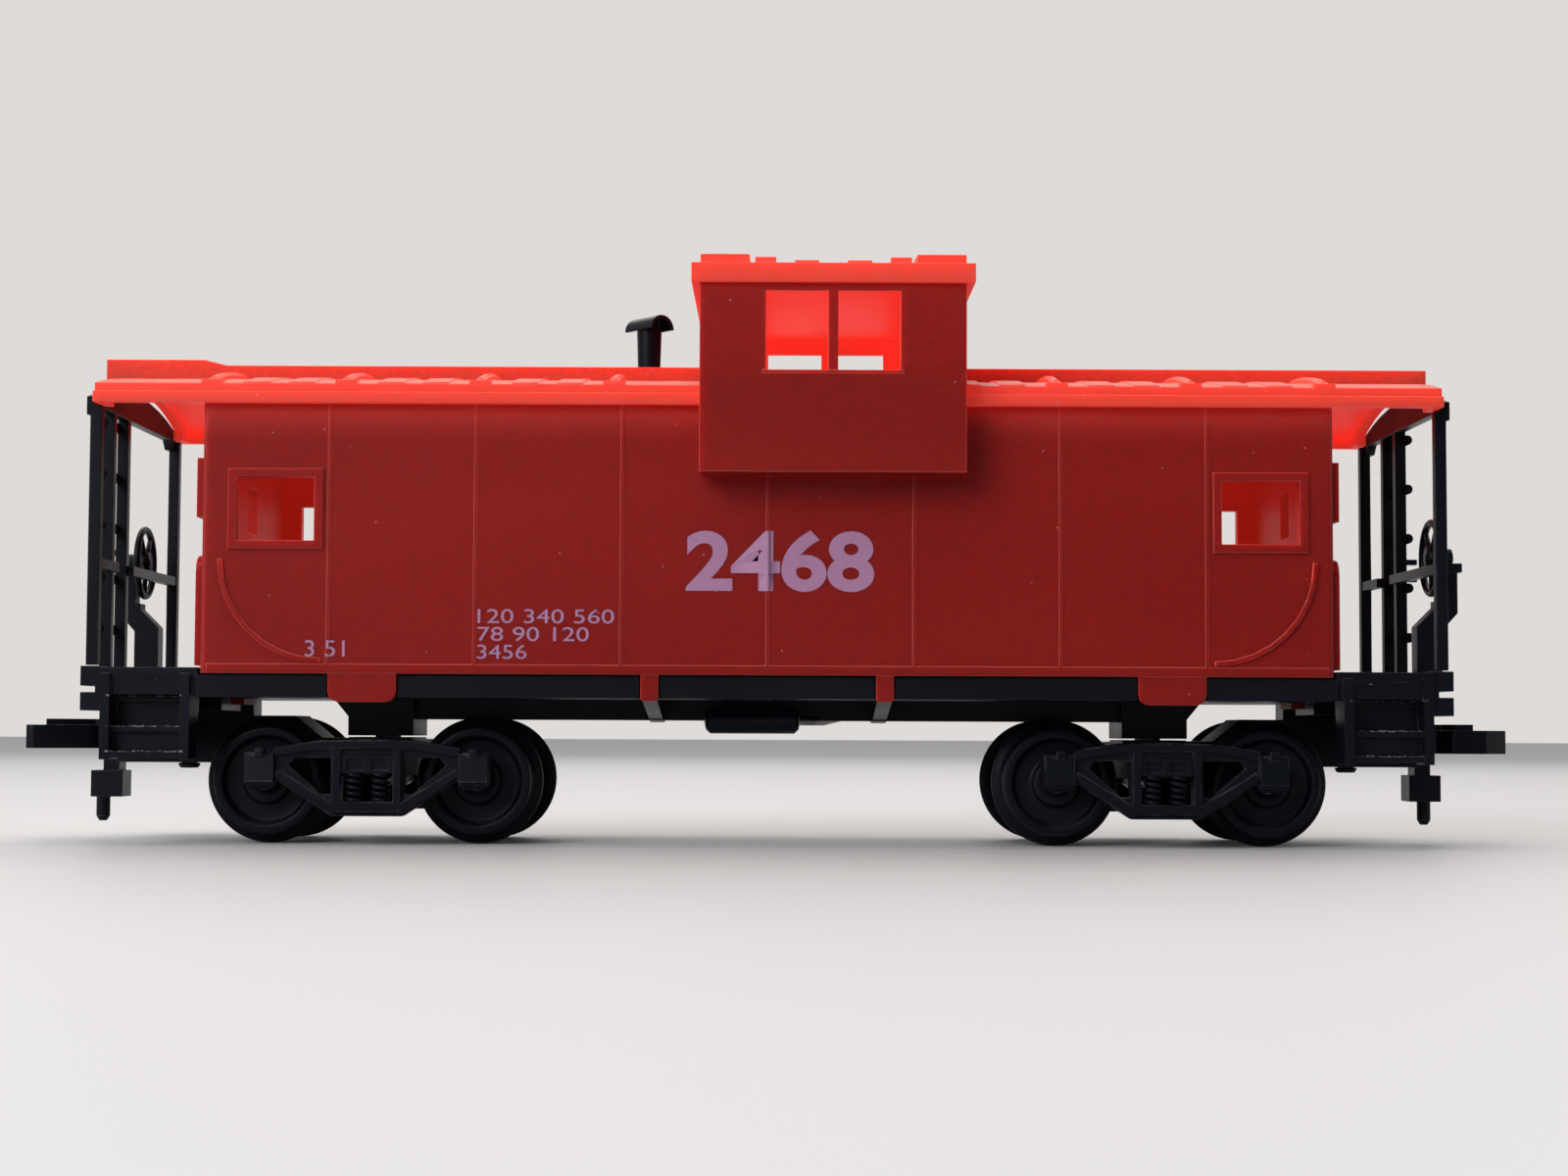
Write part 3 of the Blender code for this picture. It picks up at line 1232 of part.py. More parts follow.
def coupler_pin(finish):
    """The pin through the pocket that the coupler swings on, with its head below the arm."""
    under = arm_bottom - fit_gap
    profile = [(coupler_pin_head * 0.8, under - coupler_pin_drop), (coupler_pin_head, under - coupler_pin_drop * 0.5),
               (coupler_pin_head, under), (coupler_pin_radius, under), (coupler_pin_radius, arm_top - 0.5 * mm)]
    return named(turned(profile, 12), "coupler_pin_b", finish, 40)


# ---------------------------------------------------------------- assembly

def pivot(name, location, turn=0.0, parent=None):
    """An empty on a joint's axis."""
    made = bpy.data.objects.new(name, None)
    made.location = location
    made.rotation_euler = (0.0, 0.0, turn)
    made.parent = parent
    bpy.context.scene.collection.objects.link(made)
    return made


def build_body(red, bright_red, black, steel):
    body_shell(red)
    main_roof(bright_red)
    roof_walk("roof_walk_long", -walk_end_a, cupola_low - fit_gap, True, bright_red)
    roof_walk("roof_walk_short", cupola_high + fit_gap, walk_end_b, False, bright_red)
    cupola_shell(red)
    cupola_roof(bright_red)
    smoke_jack(black)
    underframe(black)
    steel_weight(steel)
    air_tank(black)
    for piece in (end_railing(black), brake_stand(black), brake_wheel(black)):
        twin(piece, piece.name[:-1] + "a", turn=math.pi)


def build_trucks(black, steel):
    frame = truck_frame(black)
    pin = truck_pin(steel)
    hook = coupler(black)
    hook_pin = coupler_pin(black)
    wheel_pattern = wheel(black)
    axle_pattern = axle(steel)
    for letter, turn in (("a", math.pi), ("b", 0.0)):
        side = math.cos(turn)
        truck = pivot("truck_pivot_" + letter, (side * truck_centre, 0.0, 0.0), turn)
        hook_place = (coupler_pivot - truck_centre, 0.0, 0.0)
        swing = pivot("coupler_pivot_" + letter, hook_place, 0.0, truck)
        if letter == "a":
            twin(frame, "truck_frame_a", truck)
            twin(hook, "coupler_a", swing)
            twin(pin, "truck_pin_a", None, (side * truck_centre, 0.0, 0.0), turn)
            twin(hook_pin, "coupler_pin_a", truck, hook_place)
        else:
            frame.parent = truck
            hook.parent = swing
            hook_pin.parent = truck
            hook_pin.location = hook_place
            pin.location = (side * truck_centre, 0.0, 0.0)
        for place, offset in (("outer", wheelbase / 2), ("inner", -wheelbase / 2)):
            tag = place + "_" + letter
            spin = pivot("axle_pivot_" + tag, (offset, 0.0, axle_height), 0.0, truck)
            twin(axle_pattern, "axle_" + tag, spin)
            twin(wheel_pattern, "wheel_" + tag + "_left", spin)
            twin(wheel_pattern, "wheel_" + tag + "_right", spin, turn=math.pi)
    bpy.data.objects.remove(wheel_pattern, do_unlink=True)
    bpy.data.objects.remove(axle_pattern, do_unlink=True)


clear_scene()
red_finish = material("red_plastic", red_plastic, 0.45)
roof_finish = material("roof_red_plastic", roof_red, 0.42)
black_finish = material("black_plastic", black_plastic, 0.4)
steel_finish = material("steel", steel_grey, 0.35, 1.0)
build_body(red_finish, roof_finish, black_finish, steel_finish)
build_trucks(black_finish, steel_finish)
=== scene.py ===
import math

import bmesh
import bpy
from mathutils import Matrix, Vector


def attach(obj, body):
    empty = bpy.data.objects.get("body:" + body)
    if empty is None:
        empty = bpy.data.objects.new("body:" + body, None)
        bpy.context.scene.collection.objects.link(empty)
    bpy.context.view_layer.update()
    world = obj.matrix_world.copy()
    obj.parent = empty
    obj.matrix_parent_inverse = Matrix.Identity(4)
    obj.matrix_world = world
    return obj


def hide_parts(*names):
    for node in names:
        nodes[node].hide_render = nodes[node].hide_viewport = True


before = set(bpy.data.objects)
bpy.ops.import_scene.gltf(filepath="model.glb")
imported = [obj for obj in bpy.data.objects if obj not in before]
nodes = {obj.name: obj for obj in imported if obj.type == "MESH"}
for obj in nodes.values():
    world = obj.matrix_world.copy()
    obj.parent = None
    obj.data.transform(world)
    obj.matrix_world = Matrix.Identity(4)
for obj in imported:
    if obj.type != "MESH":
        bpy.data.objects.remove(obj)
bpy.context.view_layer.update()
mm = 0.001
mergeWithin = 0.002 * mm
scene = bpy.context.scene
endTurns = {"a": math.pi, "b": 0.0}
print("frame loaded,", len(nodes), "nodes")


# the photograph's own angle, from a pinhole fitted to the car
lookout = {
    "lens": 58.45,
    "sensor": 36.0,
    "near": 5 * mm,
    "place": (1.28 * mm, -259.1 * mm, 11.15 * mm),
    "pitch": math.radians(3.22),
    "roll": math.radians(-0.244),
    "yaw": math.radians(-0.066),
}

eye = bpy.data.cameras.new("camera")
eye.lens = lookout["lens"]
eye.sensor_width = lookout["sensor"]
eye.clip_start = lookout["near"]
eyeHolder = bpy.data.objects.new("camera", eye)
scene.collection.objects.link(eyeHolder)
tilt = (Matrix.Rotation(lookout["yaw"], 4, "Z") @ Matrix.Rotation(math.pi / 2 + lookout["pitch"], 4, "X")
        @ Matrix.Rotation(-lookout["roll"], 4, "Z"))
eyeHolder.matrix_world = Matrix.Translation(lookout["place"]) @ tilt
scene.camera = eyeHolder
print("camera placed")


# a node with its values set and its sockets joined
def put(tree, kind, values=None, **settings):
    node = tree.nodes.new(kind)
    for key, value in settings.items():
        setattr(node, key, value)
    for key, value in (values or {}).items():
        socket = node.inputs[key]
        if isinstance(value, bpy.types.NodeSocket):
            tree.links.new(value, socket)
        else:
            socket.default_value = value
    return node


def sharedGroup(name, inputs, outputs):
    tree = bpy.data.node_groups.new(name, "ShaderNodeTree")
    for title, value in inputs.items():
        socket = tree.interface.new_socket(name=title, in_out="INPUT", socket_type="NodeSocketFloat")
        socket.default_value = value
    for title, kind in outputs.items():
        tree.interface.new_socket(name=title, in_out="OUTPUT", socket_type="NodeSocket" + kind)
    return tree, tree.nodes.new("NodeGroupInput").outputs, tree.nodes.new("NodeGroupOutput").inputs


# a value from low to high, brought to the range from toLow to toHigh
def ranged(tree, value, low, high, toLow=0.0, toHigh=1.0):
    return put(tree, "ShaderNodeMapRange", {"Value": value, "From Min": low, "From Max": high,
                                            "To Min": toLow, "To Max": toHigh}).outputs["Result"]


def sums(tree, operation, first, second, clamp=False):
    node = put(tree, "ShaderNodeMath", {0: first, 1: second}, operation=operation, use_clamp=clamp)
    return node.outputs[0]


def objectPoint(tree):
    return put(tree, "ShaderNodeTexCoord").outputs["Object"]


flowLook = {
    "stretch": (0.35, 1.0, 1.0),
    "thin": 0.30,
    "thick": 0.70,
}


# faint flow marks that moulding leaves in the plastic, drawn out along the car
def flowMarkGroup():
    tree, given, result = sharedGroup("flowMarks", {"Scale": 60.0}, {"Mask": "Float"})
    stretched = put(tree, "ShaderNodeMapping", {"Vector": objectPoint(tree), "Scale": flowLook["stretch"]})
    cloud = put(tree, "ShaderNodeTexNoise", {"Vector": stretched.outputs[0], "Scale": given["Scale"],
                                             "Detail": 1.5, "Roughness": 0.5})
    tree.links.new(ranged(tree, cloud.outputs[0], flowLook["thin"], flowLook["thick"]), result["Mask"])
    return tree


skinLook = {
    "depth": 0.02 * mm,
    "wideScale": 160.0,
    "wideShare": 2.2,
}


# the fine unevenness of a moulded skin, as a normal
def skinGroup():
    tree, given, result = sharedGroup("mouldedSkin", {"Scale": 2400.0, "Strength": 0.12},
                                      {"Normal": "Vector"})
    point = objectPoint(tree)
    fine = put(tree, "ShaderNodeTexNoise", {"Vector": point, "Scale": given["Scale"], "Detail": 3.0})
    wide = put(tree, "ShaderNodeTexNoise", {"Vector": point, "Scale": skinLook["wideScale"],
                                            "Detail": 2.0})
    height = put(tree, "ShaderNodeMath", {0: wide.outputs[0], 1: skinLook["wideShare"], 2: fine.outputs[0]},
                 operation="MULTIPLY_ADD").outputs[0]
    bump = put(tree, "ShaderNodeBump", {"Strength": given["Strength"], "Distance": skinLook["depth"],
                                        "Height": height})
    tree.links.new(bump.outputs[0], result["Normal"])
    return tree


grainLook = {
    "low": 0.32,
    "high": 0.68,
    "lintScale": 800.0,
    "lintEdge": 0.10,
    "lintCore": 0.05,
}


# the grain of coloured plastic seen close, with a few pale specks of lint
def grainGroup():
    tree, given, result = sharedGroup("plasticGrain", {"Scale": 1500.0, "Specks": 0.3},
                                      {"Grain": "Float", "Speck": "Float"})
    point = objectPoint(tree)
    fine = put(tree, "ShaderNodeTexNoise", {"Vector": point, "Scale": given["Scale"], "Detail": 4.0,
                                            "Roughness": 0.6})
    tree.links.new(ranged(tree, fine.outputs[0], grainLook["low"], grainLook["high"]), result["Grain"])
    cells = put(tree, "ShaderNodeTexVoronoi", {"Vector": point, "Scale": grainLook["lintScale"]})
    near = ranged(tree, cells.outputs["Distance"], grainLook["lintEdge"], grainLook["lintCore"])
    which = put(tree, "ShaderNodeSeparateColor", {0: cells.outputs["Color"]}).outputs[0]
    chosen = sums(tree, "LESS_THAN", which, given["Specks"])
    tree.links.new(sums(tree, "MULTIPLY", near, chosen), result["Speck"])
    return tree


dustLook = {
    "patchLow": 0.42,
    "patchHigh": 0.68,
    "dotScale": 5200.0,
    "dotLow": 0.62,
    "dotHigh": 0.70,
    "steep": 0.55,
    "level": 0.95,
}


# dust that settles on upper faces, and along the edges marked by the bevel
def dustGroup():
    tree, given, result = sharedGroup("settledDust", {"Top": 0.3, "Edge": 0.5, "Scale": 420.0},
                                      {"Mask": "Float"})
    facing = put(tree, "ShaderNodeTexCoord").outputs["Normal"]
    up = put(tree, "ShaderNodeSeparateXYZ", {0: facing}).outputs["Z"]
    cloud = put(tree, "ShaderNodeTexNoise", {"Vector": objectPoint(tree), "Scale": given["Scale"],
                                             "Detail": 6.0, "Roughness": 0.7})
    patch = ranged(tree, cloud.outputs[0], dustLook["patchLow"], dustLook["patchHigh"])
    speck = put(tree, "ShaderNodeTexNoise", {"Vector": objectPoint(tree), "Scale": dustLook["dotScale"],
                                             "Detail": 2.0})
    dots = ranged(tree, speck.outputs[0], dustLook["dotLow"], dustLook["dotHigh"])
    lying = sums(tree, "MULTIPLY", ranged(tree, up, dustLook["steep"], dustLook["level"]), given["Top"])
    upper = sums(tree, "MULTIPLY", lying, sums(tree, "ADD", patch, dots, True))
    edge = put(tree, "ShaderNodeAttribute", attribute_name="edge").outputs["Fac"]
    wearAndSheen = sums(tree, "MULTIPLY", sums(tree, "MULTIPLY", edge, given["Edge"]), patch)
    tree.links.new(sums(tree, "ADD", upper, wearAndSheen, True), result["Mask"])
    return tree


# each pale line, partly a scuff and partly a painted highlight on the lit tread edge, is a height and the
# noise level from which it shows
stepTreads = {
    "middle": 59.15,
    "half": 3.7,
    "inner": 13.6,
    "wear": 0.08,
    "fade": 0.06,
    "scuffAndHighlightLines": [(9.0, 0.53), (11.4, 0.52), (14.3, 0.50), (15.9, 0.60)],
}


# pale lines along the front edges of the step treads, on both sides of both ends, partly scuffs and partly a
# painted highlight of the lit edges
def treadScuffHighlightGroup():
    tree, _, result = sharedGroup("treadScuffsAndHighlight", {}, {"Mask": "Float"})
    point = objectPoint(tree)
    part = put(tree, "ShaderNodeSeparateXYZ", {0: point})
    fine = put(tree, "ShaderNodeTexNoise", {"Vector": point, "Scale": 1400.0, "Detail": 5.0,
                                            "Roughness": 0.75})
    along = sums(tree, "COMPARE", sums(tree, "ABSOLUTE", part.outputs["X"], 0.0),
                 stepTreads["middle"] * mm)
    along.node.inputs[2].default_value = stepTreads["half"] * mm
    across = sums(tree, "GREATER_THAN", sums(tree, "ABSOLUTE", part.outputs["Y"], 0.0),
                  stepTreads["inner"] * mm)
    total = None
    for height, amount in stepTreads["scuffAndHighlightLines"]:
        line = sums(tree, "COMPARE", part.outputs["Z"], height * mm)
        line.node.inputs[2].default_value = stepTreads["wear"] * mm
        broken = ranged(tree, fine.outputs[0], amount, amount + stepTreads["fade"])
        wearAndSheen = sums(tree, "MULTIPLY", line, broken)
        total = wearAndSheen if total is None else sums(tree, "MAXIMUM", total, wearAndSheen)
    place = sums(tree, "MULTIPLY", along, across)
    tree.links.new(sums(tree, "MULTIPLY", total, place), result["Mask"])
    return tree


# smears from handling, which change how glossy the plastic is
def smearGroup():
    tree, given, result = sharedGroup("smears", {"Scale": 70.0, "Low": 0.25, "High": 0.45},
                                      {"Roughness": "Float"})
    cloud = put(tree, "ShaderNodeTexNoise", {"Vector": objectPoint(tree), "Scale": given["Scale"],
                                             "Detail": 3.0, "Roughness": 0.5})
    gloss = ranged(tree, cloud.outputs[0], 0.3, 0.7, given["Low"], given["High"])
    tree.links.new(gloss, result["Roughness"])
    return tree


flowMarks, mouldedSkin, plasticGrain = flowMarkGroup(), skinGroup(), grainGroup()
settledDust, treadScuffsAndHighlight, smears = dustGroup(), treadScuffHighlightGroup(), smearGroup()


def shared(tree, group, values=None, output=0):
    node = tree.nodes.new("ShaderNodeGroup")
    node.node_tree = group
    for key, value in (values or {}).items():
        node.inputs[key].default_value = value
    return node.outputs[output]


def blended(tree, factor, first, second):
    node = put(tree, "ShaderNodeMix", {0: factor, 6: first, 7: second}, data_type="RGBA")
    return node.outputs[2]


def faceMark(tree, name):
    return put(tree, "ShaderNodeAttribute", attribute_name=name).outputs["Fac"]


def newMaterial(name):
    made = bpy.data.materials.new(name)
    made.use_nodes = True
    return made, made.node_tree, made.node_tree.nodes["Principled BSDF"]


redPlastic = {
    # wall and roof are one red plastic: the wall colour is darkened as painted shade, the roof colour
    # brightened as painted light, and lit is a painted glow of light through the plastic, which the flow
    # marks use too
    "wall": (0.345, 0.0105, 0.0080, 1.0),
    "roof": (0.86, 0.082, 0.047, 1.0),
    "lit": (0.93, 0.085, 0.055, 1.0),
    "grain": 0.16,
    "flow": 0.06,
    "paintedEdgeHighlight": (0.86, 0.24, 0.20, 1.0),
    "speck": (0.85, 0.50, 0.45, 1.0),
    "specks": 0.14,
    "speckShare": 0.45,
    "dust": (0.66, 0.45, 0.42, 1.0),
    "topDust": 0.07,
    "skin": 0.10,
    "roughLow": 0.44,
    "roughHigh": 0.54,
    "specular": 0.12,
    "bleed": (1.0, 0.12, 0.07),
    "bleedScale": 2.6 * mm,
    "glowDepth": 3.2 * mm,
    "glow": 0.42,
    "throughGlow": (0.34, 0.020, 0.012, 1.0),
}


# the red plastic lets light through; that light is painted here, as a brighter base colour on inner faces
# and on the walls just below the eaves
def redFinish(name, base, edgeShare, eaves):
    made, tree, shader = newMaterial(name)
    dark = tuple(channel * (1.0 - redPlastic["grain"]) for channel in base[:3]) + (1.0,)
    color = blended(tree, shared(tree, plasticGrain), dark, base)
    height = put(tree, "ShaderNodeSeparateXYZ", {0: objectPoint(tree)}).outputs["Z"]
    # painted glow: the walls just below the eaves blend towards the lit red, and so do the faces marked
    # inner
    under = ranged(tree, height, eaves - redPlastic["glowDepth"], eaves)
    glow = sums(tree, "MULTIPLY", sums(tree, "POWER", under, 2.0), redPlastic["glow"])
    color = blended(tree, glow, color, redPlastic["lit"])
    color = blended(tree, faceMark(tree, "inner"), color, redPlastic["lit"])
    flow = sums(tree, "MULTIPLY", shared(tree, flowMarks), redPlastic["flow"])
    color = blended(tree, flow, color, redPlastic["lit"])
    # painted highlight: the bevelled edges blend towards a paler red
    wearAndSheen = sums(tree, "MULTIPLY", faceMark(tree, "edge"), edgeShare)
    color = blended(tree, wearAndSheen, color, redPlastic["paintedEdgeHighlight"])
    specks = sums(tree, "MULTIPLY", shared(tree, plasticGrain, {"Specks": redPlastic["specks"]}, "Speck"),
                  redPlastic["speckShare"])
    color = blended(tree, specks, color, redPlastic["speck"])
    dust = shared(tree, settledDust, {"Top": redPlastic["topDust"], "Edge": 0.0})
    tree.links.new(blended(tree, dust, color, redPlastic["dust"]), shader.inputs["Base Color"])
    gloss = shared(tree, smears, {"Low": redPlastic["roughLow"], "High": redPlastic["roughHigh"]})
    tree.links.new(gloss, shader.inputs["Roughness"])
    tree.links.new(shared(tree, mouldedSkin, {"Strength": redPlastic["skin"]}), shader.inputs["Normal"])
    # painted glow: a faint red emission on the faces marked inner, for light coming through the plastic
    through = blended(tree, faceMark(tree, "inner"), (0.0, 0.0, 0.0, 1.0), redPlastic["throughGlow"])
    tree.links.new(through, shader.inputs["Emission Color"])
    shader.inputs["Emission Strength"].default_value = 1.0
    shader.inputs["Specular IOR Level"].default_value = redPlastic["specular"]
    shader.inputs["Subsurface Weight"].default_value = 1.0
    shader.inputs["Subsurface Radius"].default_value = redPlastic["bleed"]
    shader.inputs["Subsurface Scale"].default_value = redPlastic["bleedScale"]
    return made


blackPlastic = {
    # the blue tint of base and pale is a painted reflection of a blue surface below
    "base": (0.0026, 0.0039, 0.0072, 1.0),
    "pale": (0.0050, 0.0063, 0.0102, 1.0),
    "dust": (0.24, 0.23, 0.225, 1.0),
    "scuffAndHighlight": (0.26, 0.25, 0.24, 1.0),
    "flowScale": 110.0,
    "skin": 0.16,
    "roughLow": 0.30,
    "roughHigh": 0.44,
    "specular": 0.11,
}


def blackFinish(name, topDust, edgeDust, scuffedAndLit=False):
    made, tree, shader = newMaterial(name)
    flow = shared(tree, flowMarks, {"Scale": blackPlastic["flowScale"]})
    color = blended(tree, flow, blackPlastic["base"], blackPlastic["pale"])
    dust = shared(tree, settledDust, {"Top": topDust, "Edge": edgeDust})
    color = blended(tree, dust, color, blackPlastic["dust"])
    if scuffedAndLit:
        # the tread lines: partly scuffs, partly a painted highlight on the lit tread edges
        color = blended(tree, shared(tree, treadScuffsAndHighlight), color, blackPlastic["scuffAndHighlight"])
    tree.links.new(color, shader.inputs["Base Color"])
    gloss = shared(tree, smears, {"Low": blackPlastic["roughLow"], "High": blackPlastic["roughHigh"]})
    tree.links.new(gloss, shader.inputs["Roughness"])
    tree.links.new(shared(tree, mouldedSkin, {"Strength": blackPlastic["skin"]}), shader.inputs["Normal"])
    shader.inputs["Specular IOR Level"].default_value = blackPlastic["specular"]
    return made


steelLook = {
    "base": (0.44, 0.44, 0.45, 1.0),
    "stain": (0.20, 0.175, 0.155, 1.0),
    "stained": 0.5,
    "stainScale": 240.0,
    "roughLow": 0.26,
    "roughHigh": 0.46,
    "skinScale": 3800.0,
    "skin": 0.2,
}


def steelFinish(name):
    made, tree, shader = newMaterial(name)
    stain = sums(tree, "MULTIPLY", shared(tree, flowMarks, {"Scale": steelLook["stainScale"]}),
                 steelLook["stained"])
    color = blended(tree, stain, steelLook["base"], steelLook["stain"])
    tree.links.new(color, shader.inputs["Base Color"])
    gloss = shared(tree, smears, {"Low": steelLook["roughLow"], "High": steelLook["roughHigh"]})
    tree.links.new(gloss, shader.inputs["Roughness"])
    skin = shared(tree, mouldedSkin, {"Scale": steelLook["skinScale"], "Strength": steelLook["skin"]})
    tree.links.new(skin, shader.inputs["Normal"])
    shader.inputs["Metallic"].default_value = 1.0
    return made


printLook = {
    # the print is pale; base is darkened and tinted lilac as painted shade, and thin is the print worn thin
    # over the red
    "base": (0.50, 0.26, 0.43, 1.0),
    "thin": (0.47, 0.17, 0.24, 1.0),
    "wear": 0.40,
    "wearScale": 1100.0,
    "skin": 0.08,
    "rough": 0.5,
    "specular": 0.3,
}


def printFinish(name):
    made, tree, shader = newMaterial(name)
    wearAndSheen = sums(tree, "MULTIPLY", shared(tree, plasticGrain, {"Scale": printLook["wearScale"]}),
                printLook["wear"])
    tree.links.new(blended(tree, wearAndSheen, printLook["base"], printLook["thin"]), shader.inputs["Base Color"])
    tree.links.new(shared(tree, mouldedSkin, {"Strength": printLook["skin"]}), shader.inputs["Normal"])
    shader.inputs["Roughness"].default_value = printLook["rough"]
    shader.inputs["Specular IOR Level"].default_value = printLook["specular"]
    return made


# the wall and cupola reds use the darkened wall colour as painted shade, the roof red the brightened roof
# colour as painted light
wallRed = redFinish("wallRed", redPlastic["wall"], edgeShare=0.30, eaves=41.4 * mm)
cupolaRed = redFinish("cupolaRed", redPlastic["wall"], edgeShare=0.30, eaves=54.6 * mm)
roofRed = redFinish("roofRed", redPlastic["roof"], edgeShare=0.16, eaves=60.0 * mm)
frameBlack = blackFinish("frameBlack", topDust=0.16, edgeDust=0.16)
stepBlack = blackFinish("stepBlack", topDust=0.16, edgeDust=0.16, scuffedAndLit=True)
truckBlack = blackFinish("truckBlack", topDust=0.12, edgeDust=0.26)
wheelBlack = blackFinish("wheelBlack", topDust=0.08, edgeDust=0.10)
bareSteel = steelFinish("bareSteel")
markInk = printFinish("markInk")
print("materials made")


# every piece goes to its body and takes the place of its CAD nodes
def keep(piece, body, slot, *replaced):
    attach(piece, body)
    if replaced:
        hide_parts(*replaced)
    return piece


# the piece with its modifiers worked into its mesh
def settled(piece):
    graph = bpy.context.evaluated_depsgraph_get()
    mesh = bpy.data.meshes.new_from_object(piece.evaluated_get(graph))
    piece.modifiers.clear()
    piece.data = mesh
    mesh.name = piece.name
    return piece


def looseObject(name, mesh):
    made = bpy.data.objects.new(name, mesh)
    scene.collection.objects.link(made)
    return made


# a merged copy of a CAD node's mesh, with the node itself left alone
def plainSolid(name, node):
    bm = bmesh.new()
    bm.from_mesh(nodes[node].data)
    bmesh.ops.remove_doubles(bm, verts=bm.verts, dist=mergeWithin)
    mesh = bpy.data.meshes.new(name)
    bm.to_mesh(mesh)
    bm.free()
    return looseObject(name, mesh)


# the curved hand rail below each side window, whose underside gets a painted highlight
grabRail = {
    "x": 41.9,
    "z": 27.32,
    "radius": 9.6,
    "wire": 0.5,
    "wall": 16.99,
}


# how much painted glow a face gets for the light that comes through it, by whether it looks into the piece's
# hollow
def lightThrough(face, hollow):
    if hollow is None:
        return 0.0
    x, y, z = face.center
    within = (abs(x - hollow["middle"] * mm) < hollow["along"] * mm and abs(y) < hollow["across"] * mm
              and hollow["low"] * mm < z < hollow["high"] * mm)
    inward = x * face.normal.x + y * face.normal.y < -0.1 * mm or face.normal.z < -0.5
    reach = math.hypot(abs(x) - grabRail["x"] * mm, z - grabRail["z"] * mm)
    onRail = (hollow["rail"] > 0.0 and abs(y) > grabRail["wall"] * mm and z < grabRail["z"] * mm
              and abs(reach - grabRail["radius"] * mm) < grabRail["wire"] * mm)
    # painted highlight: the rail's underside gets the lit red and a faint glow
    if onRail and face.normal.z < 0.1 and abs(face.normal.y) < 0.9:
        return hollow["rail"]
    return hollow["inside"] if within and inward else hollow["outside"] * (1.0 - max(0.0, face.normal.z))


# edges rounded by width, and the faces marked as edge and inner for the materials; inner holds each face's
# painted glow
def softened(piece, width, finish, angle=24.0, segments=2, hollow=None):
    mesh = piece.data
    mesh.materials.clear()
    mesh.materials.append(finish)
    mesh.materials.append(finish)
    mesh.polygons.foreach_set("material_index", [0] * len(mesh.polygons))
    mesh.shade_smooth()
    rounder = piece.modifiers.new("round", "BEVEL")
    rounder.width = width
    rounder.segments = segments
    rounder.limit_method = "ANGLE"
    rounder.angle_limit = math.radians(angle)
    rounder.use_clamp_overlap = False
    rounder.material = 1
    weighed = piece.modifiers.new("weigh", "WEIGHTED_NORMAL")
    weighed.weight = 60
    settled(piece)
    mesh = piece.data
    edge = mesh.attributes.new("edge", "FLOAT", "FACE")
    edge.data.foreach_set("value", [float(face.material_index) for face in mesh.polygons])
    inner = mesh.attributes.new("inner", "FLOAT", "FACE")
    inner.data.foreach_set("value", [lightThrough(face, hollow) for face in mesh.polygons])
    mesh.polygons.foreach_set("material_index", [0] * len(mesh.polygons))
    mesh.materials.pop(index=1)
    return piece


# width of the rounding in mm, material and slot
rounding = {
    "body_shell": (0.045, wallRed, "red_plastic"),
    "main_roof": (0.07, roofRed, "roof_red_plastic"),
    "roof_walk_long": (0.06, roofRed, "roof_red_plastic"),
    "roof_walk_short": (0.06, roofRed, "roof_red_plastic"),
    "cupola_shell": (0.07, cupolaRed, "red_plastic"),
    "cupola_roof": (0.08, roofRed, "roof_red_plastic"),
    "underframe": (0.07, stepBlack, "black_plastic"),
    "steel_weight": (0.05, bareSteel, "steel"),
}

# the room inside each shell, and how much painted glow its faces get for the light they let through, from 0
# to 1; outside is painted glow on the roofs' side faces
hollows = {
    "body_shell": {"middle": 0.0, "along": 53.9, "across": 16.8, "low": 16.6, "high": 45.0,
                   "inside": 0.3, "outside": 0.0, "rail": 0.6},
    "cupola_shell": {"middle": 6.1, "along": 12.0, "across": 20.7, "low": 35.7, "high": 57.0,
                     "inside": 1.0, "outside": 0.0, "rail": 0.0},
    "main_roof": {"middle": 0.0, "along": 69.0, "across": 18.0, "low": 30.0, "high": 50.0,
                  "inside": 1.0, "outside": 0.55, "rail": 0.0},
    "cupola_roof": {"middle": 6.1, "along": 13.1, "across": 22.0, "low": 50.0, "high": 60.0,
                    "inside": 1.0, "outside": 0.6, "rail": 0.0},
}

for node, (width, finish, slot) in rounding.items():
    piece = softened(plainSolid(node + "_skin", node), width * mm, finish, hollow=hollows.get(node))
    keep(piece, "root", slot, node)
print("body pieces rounded")


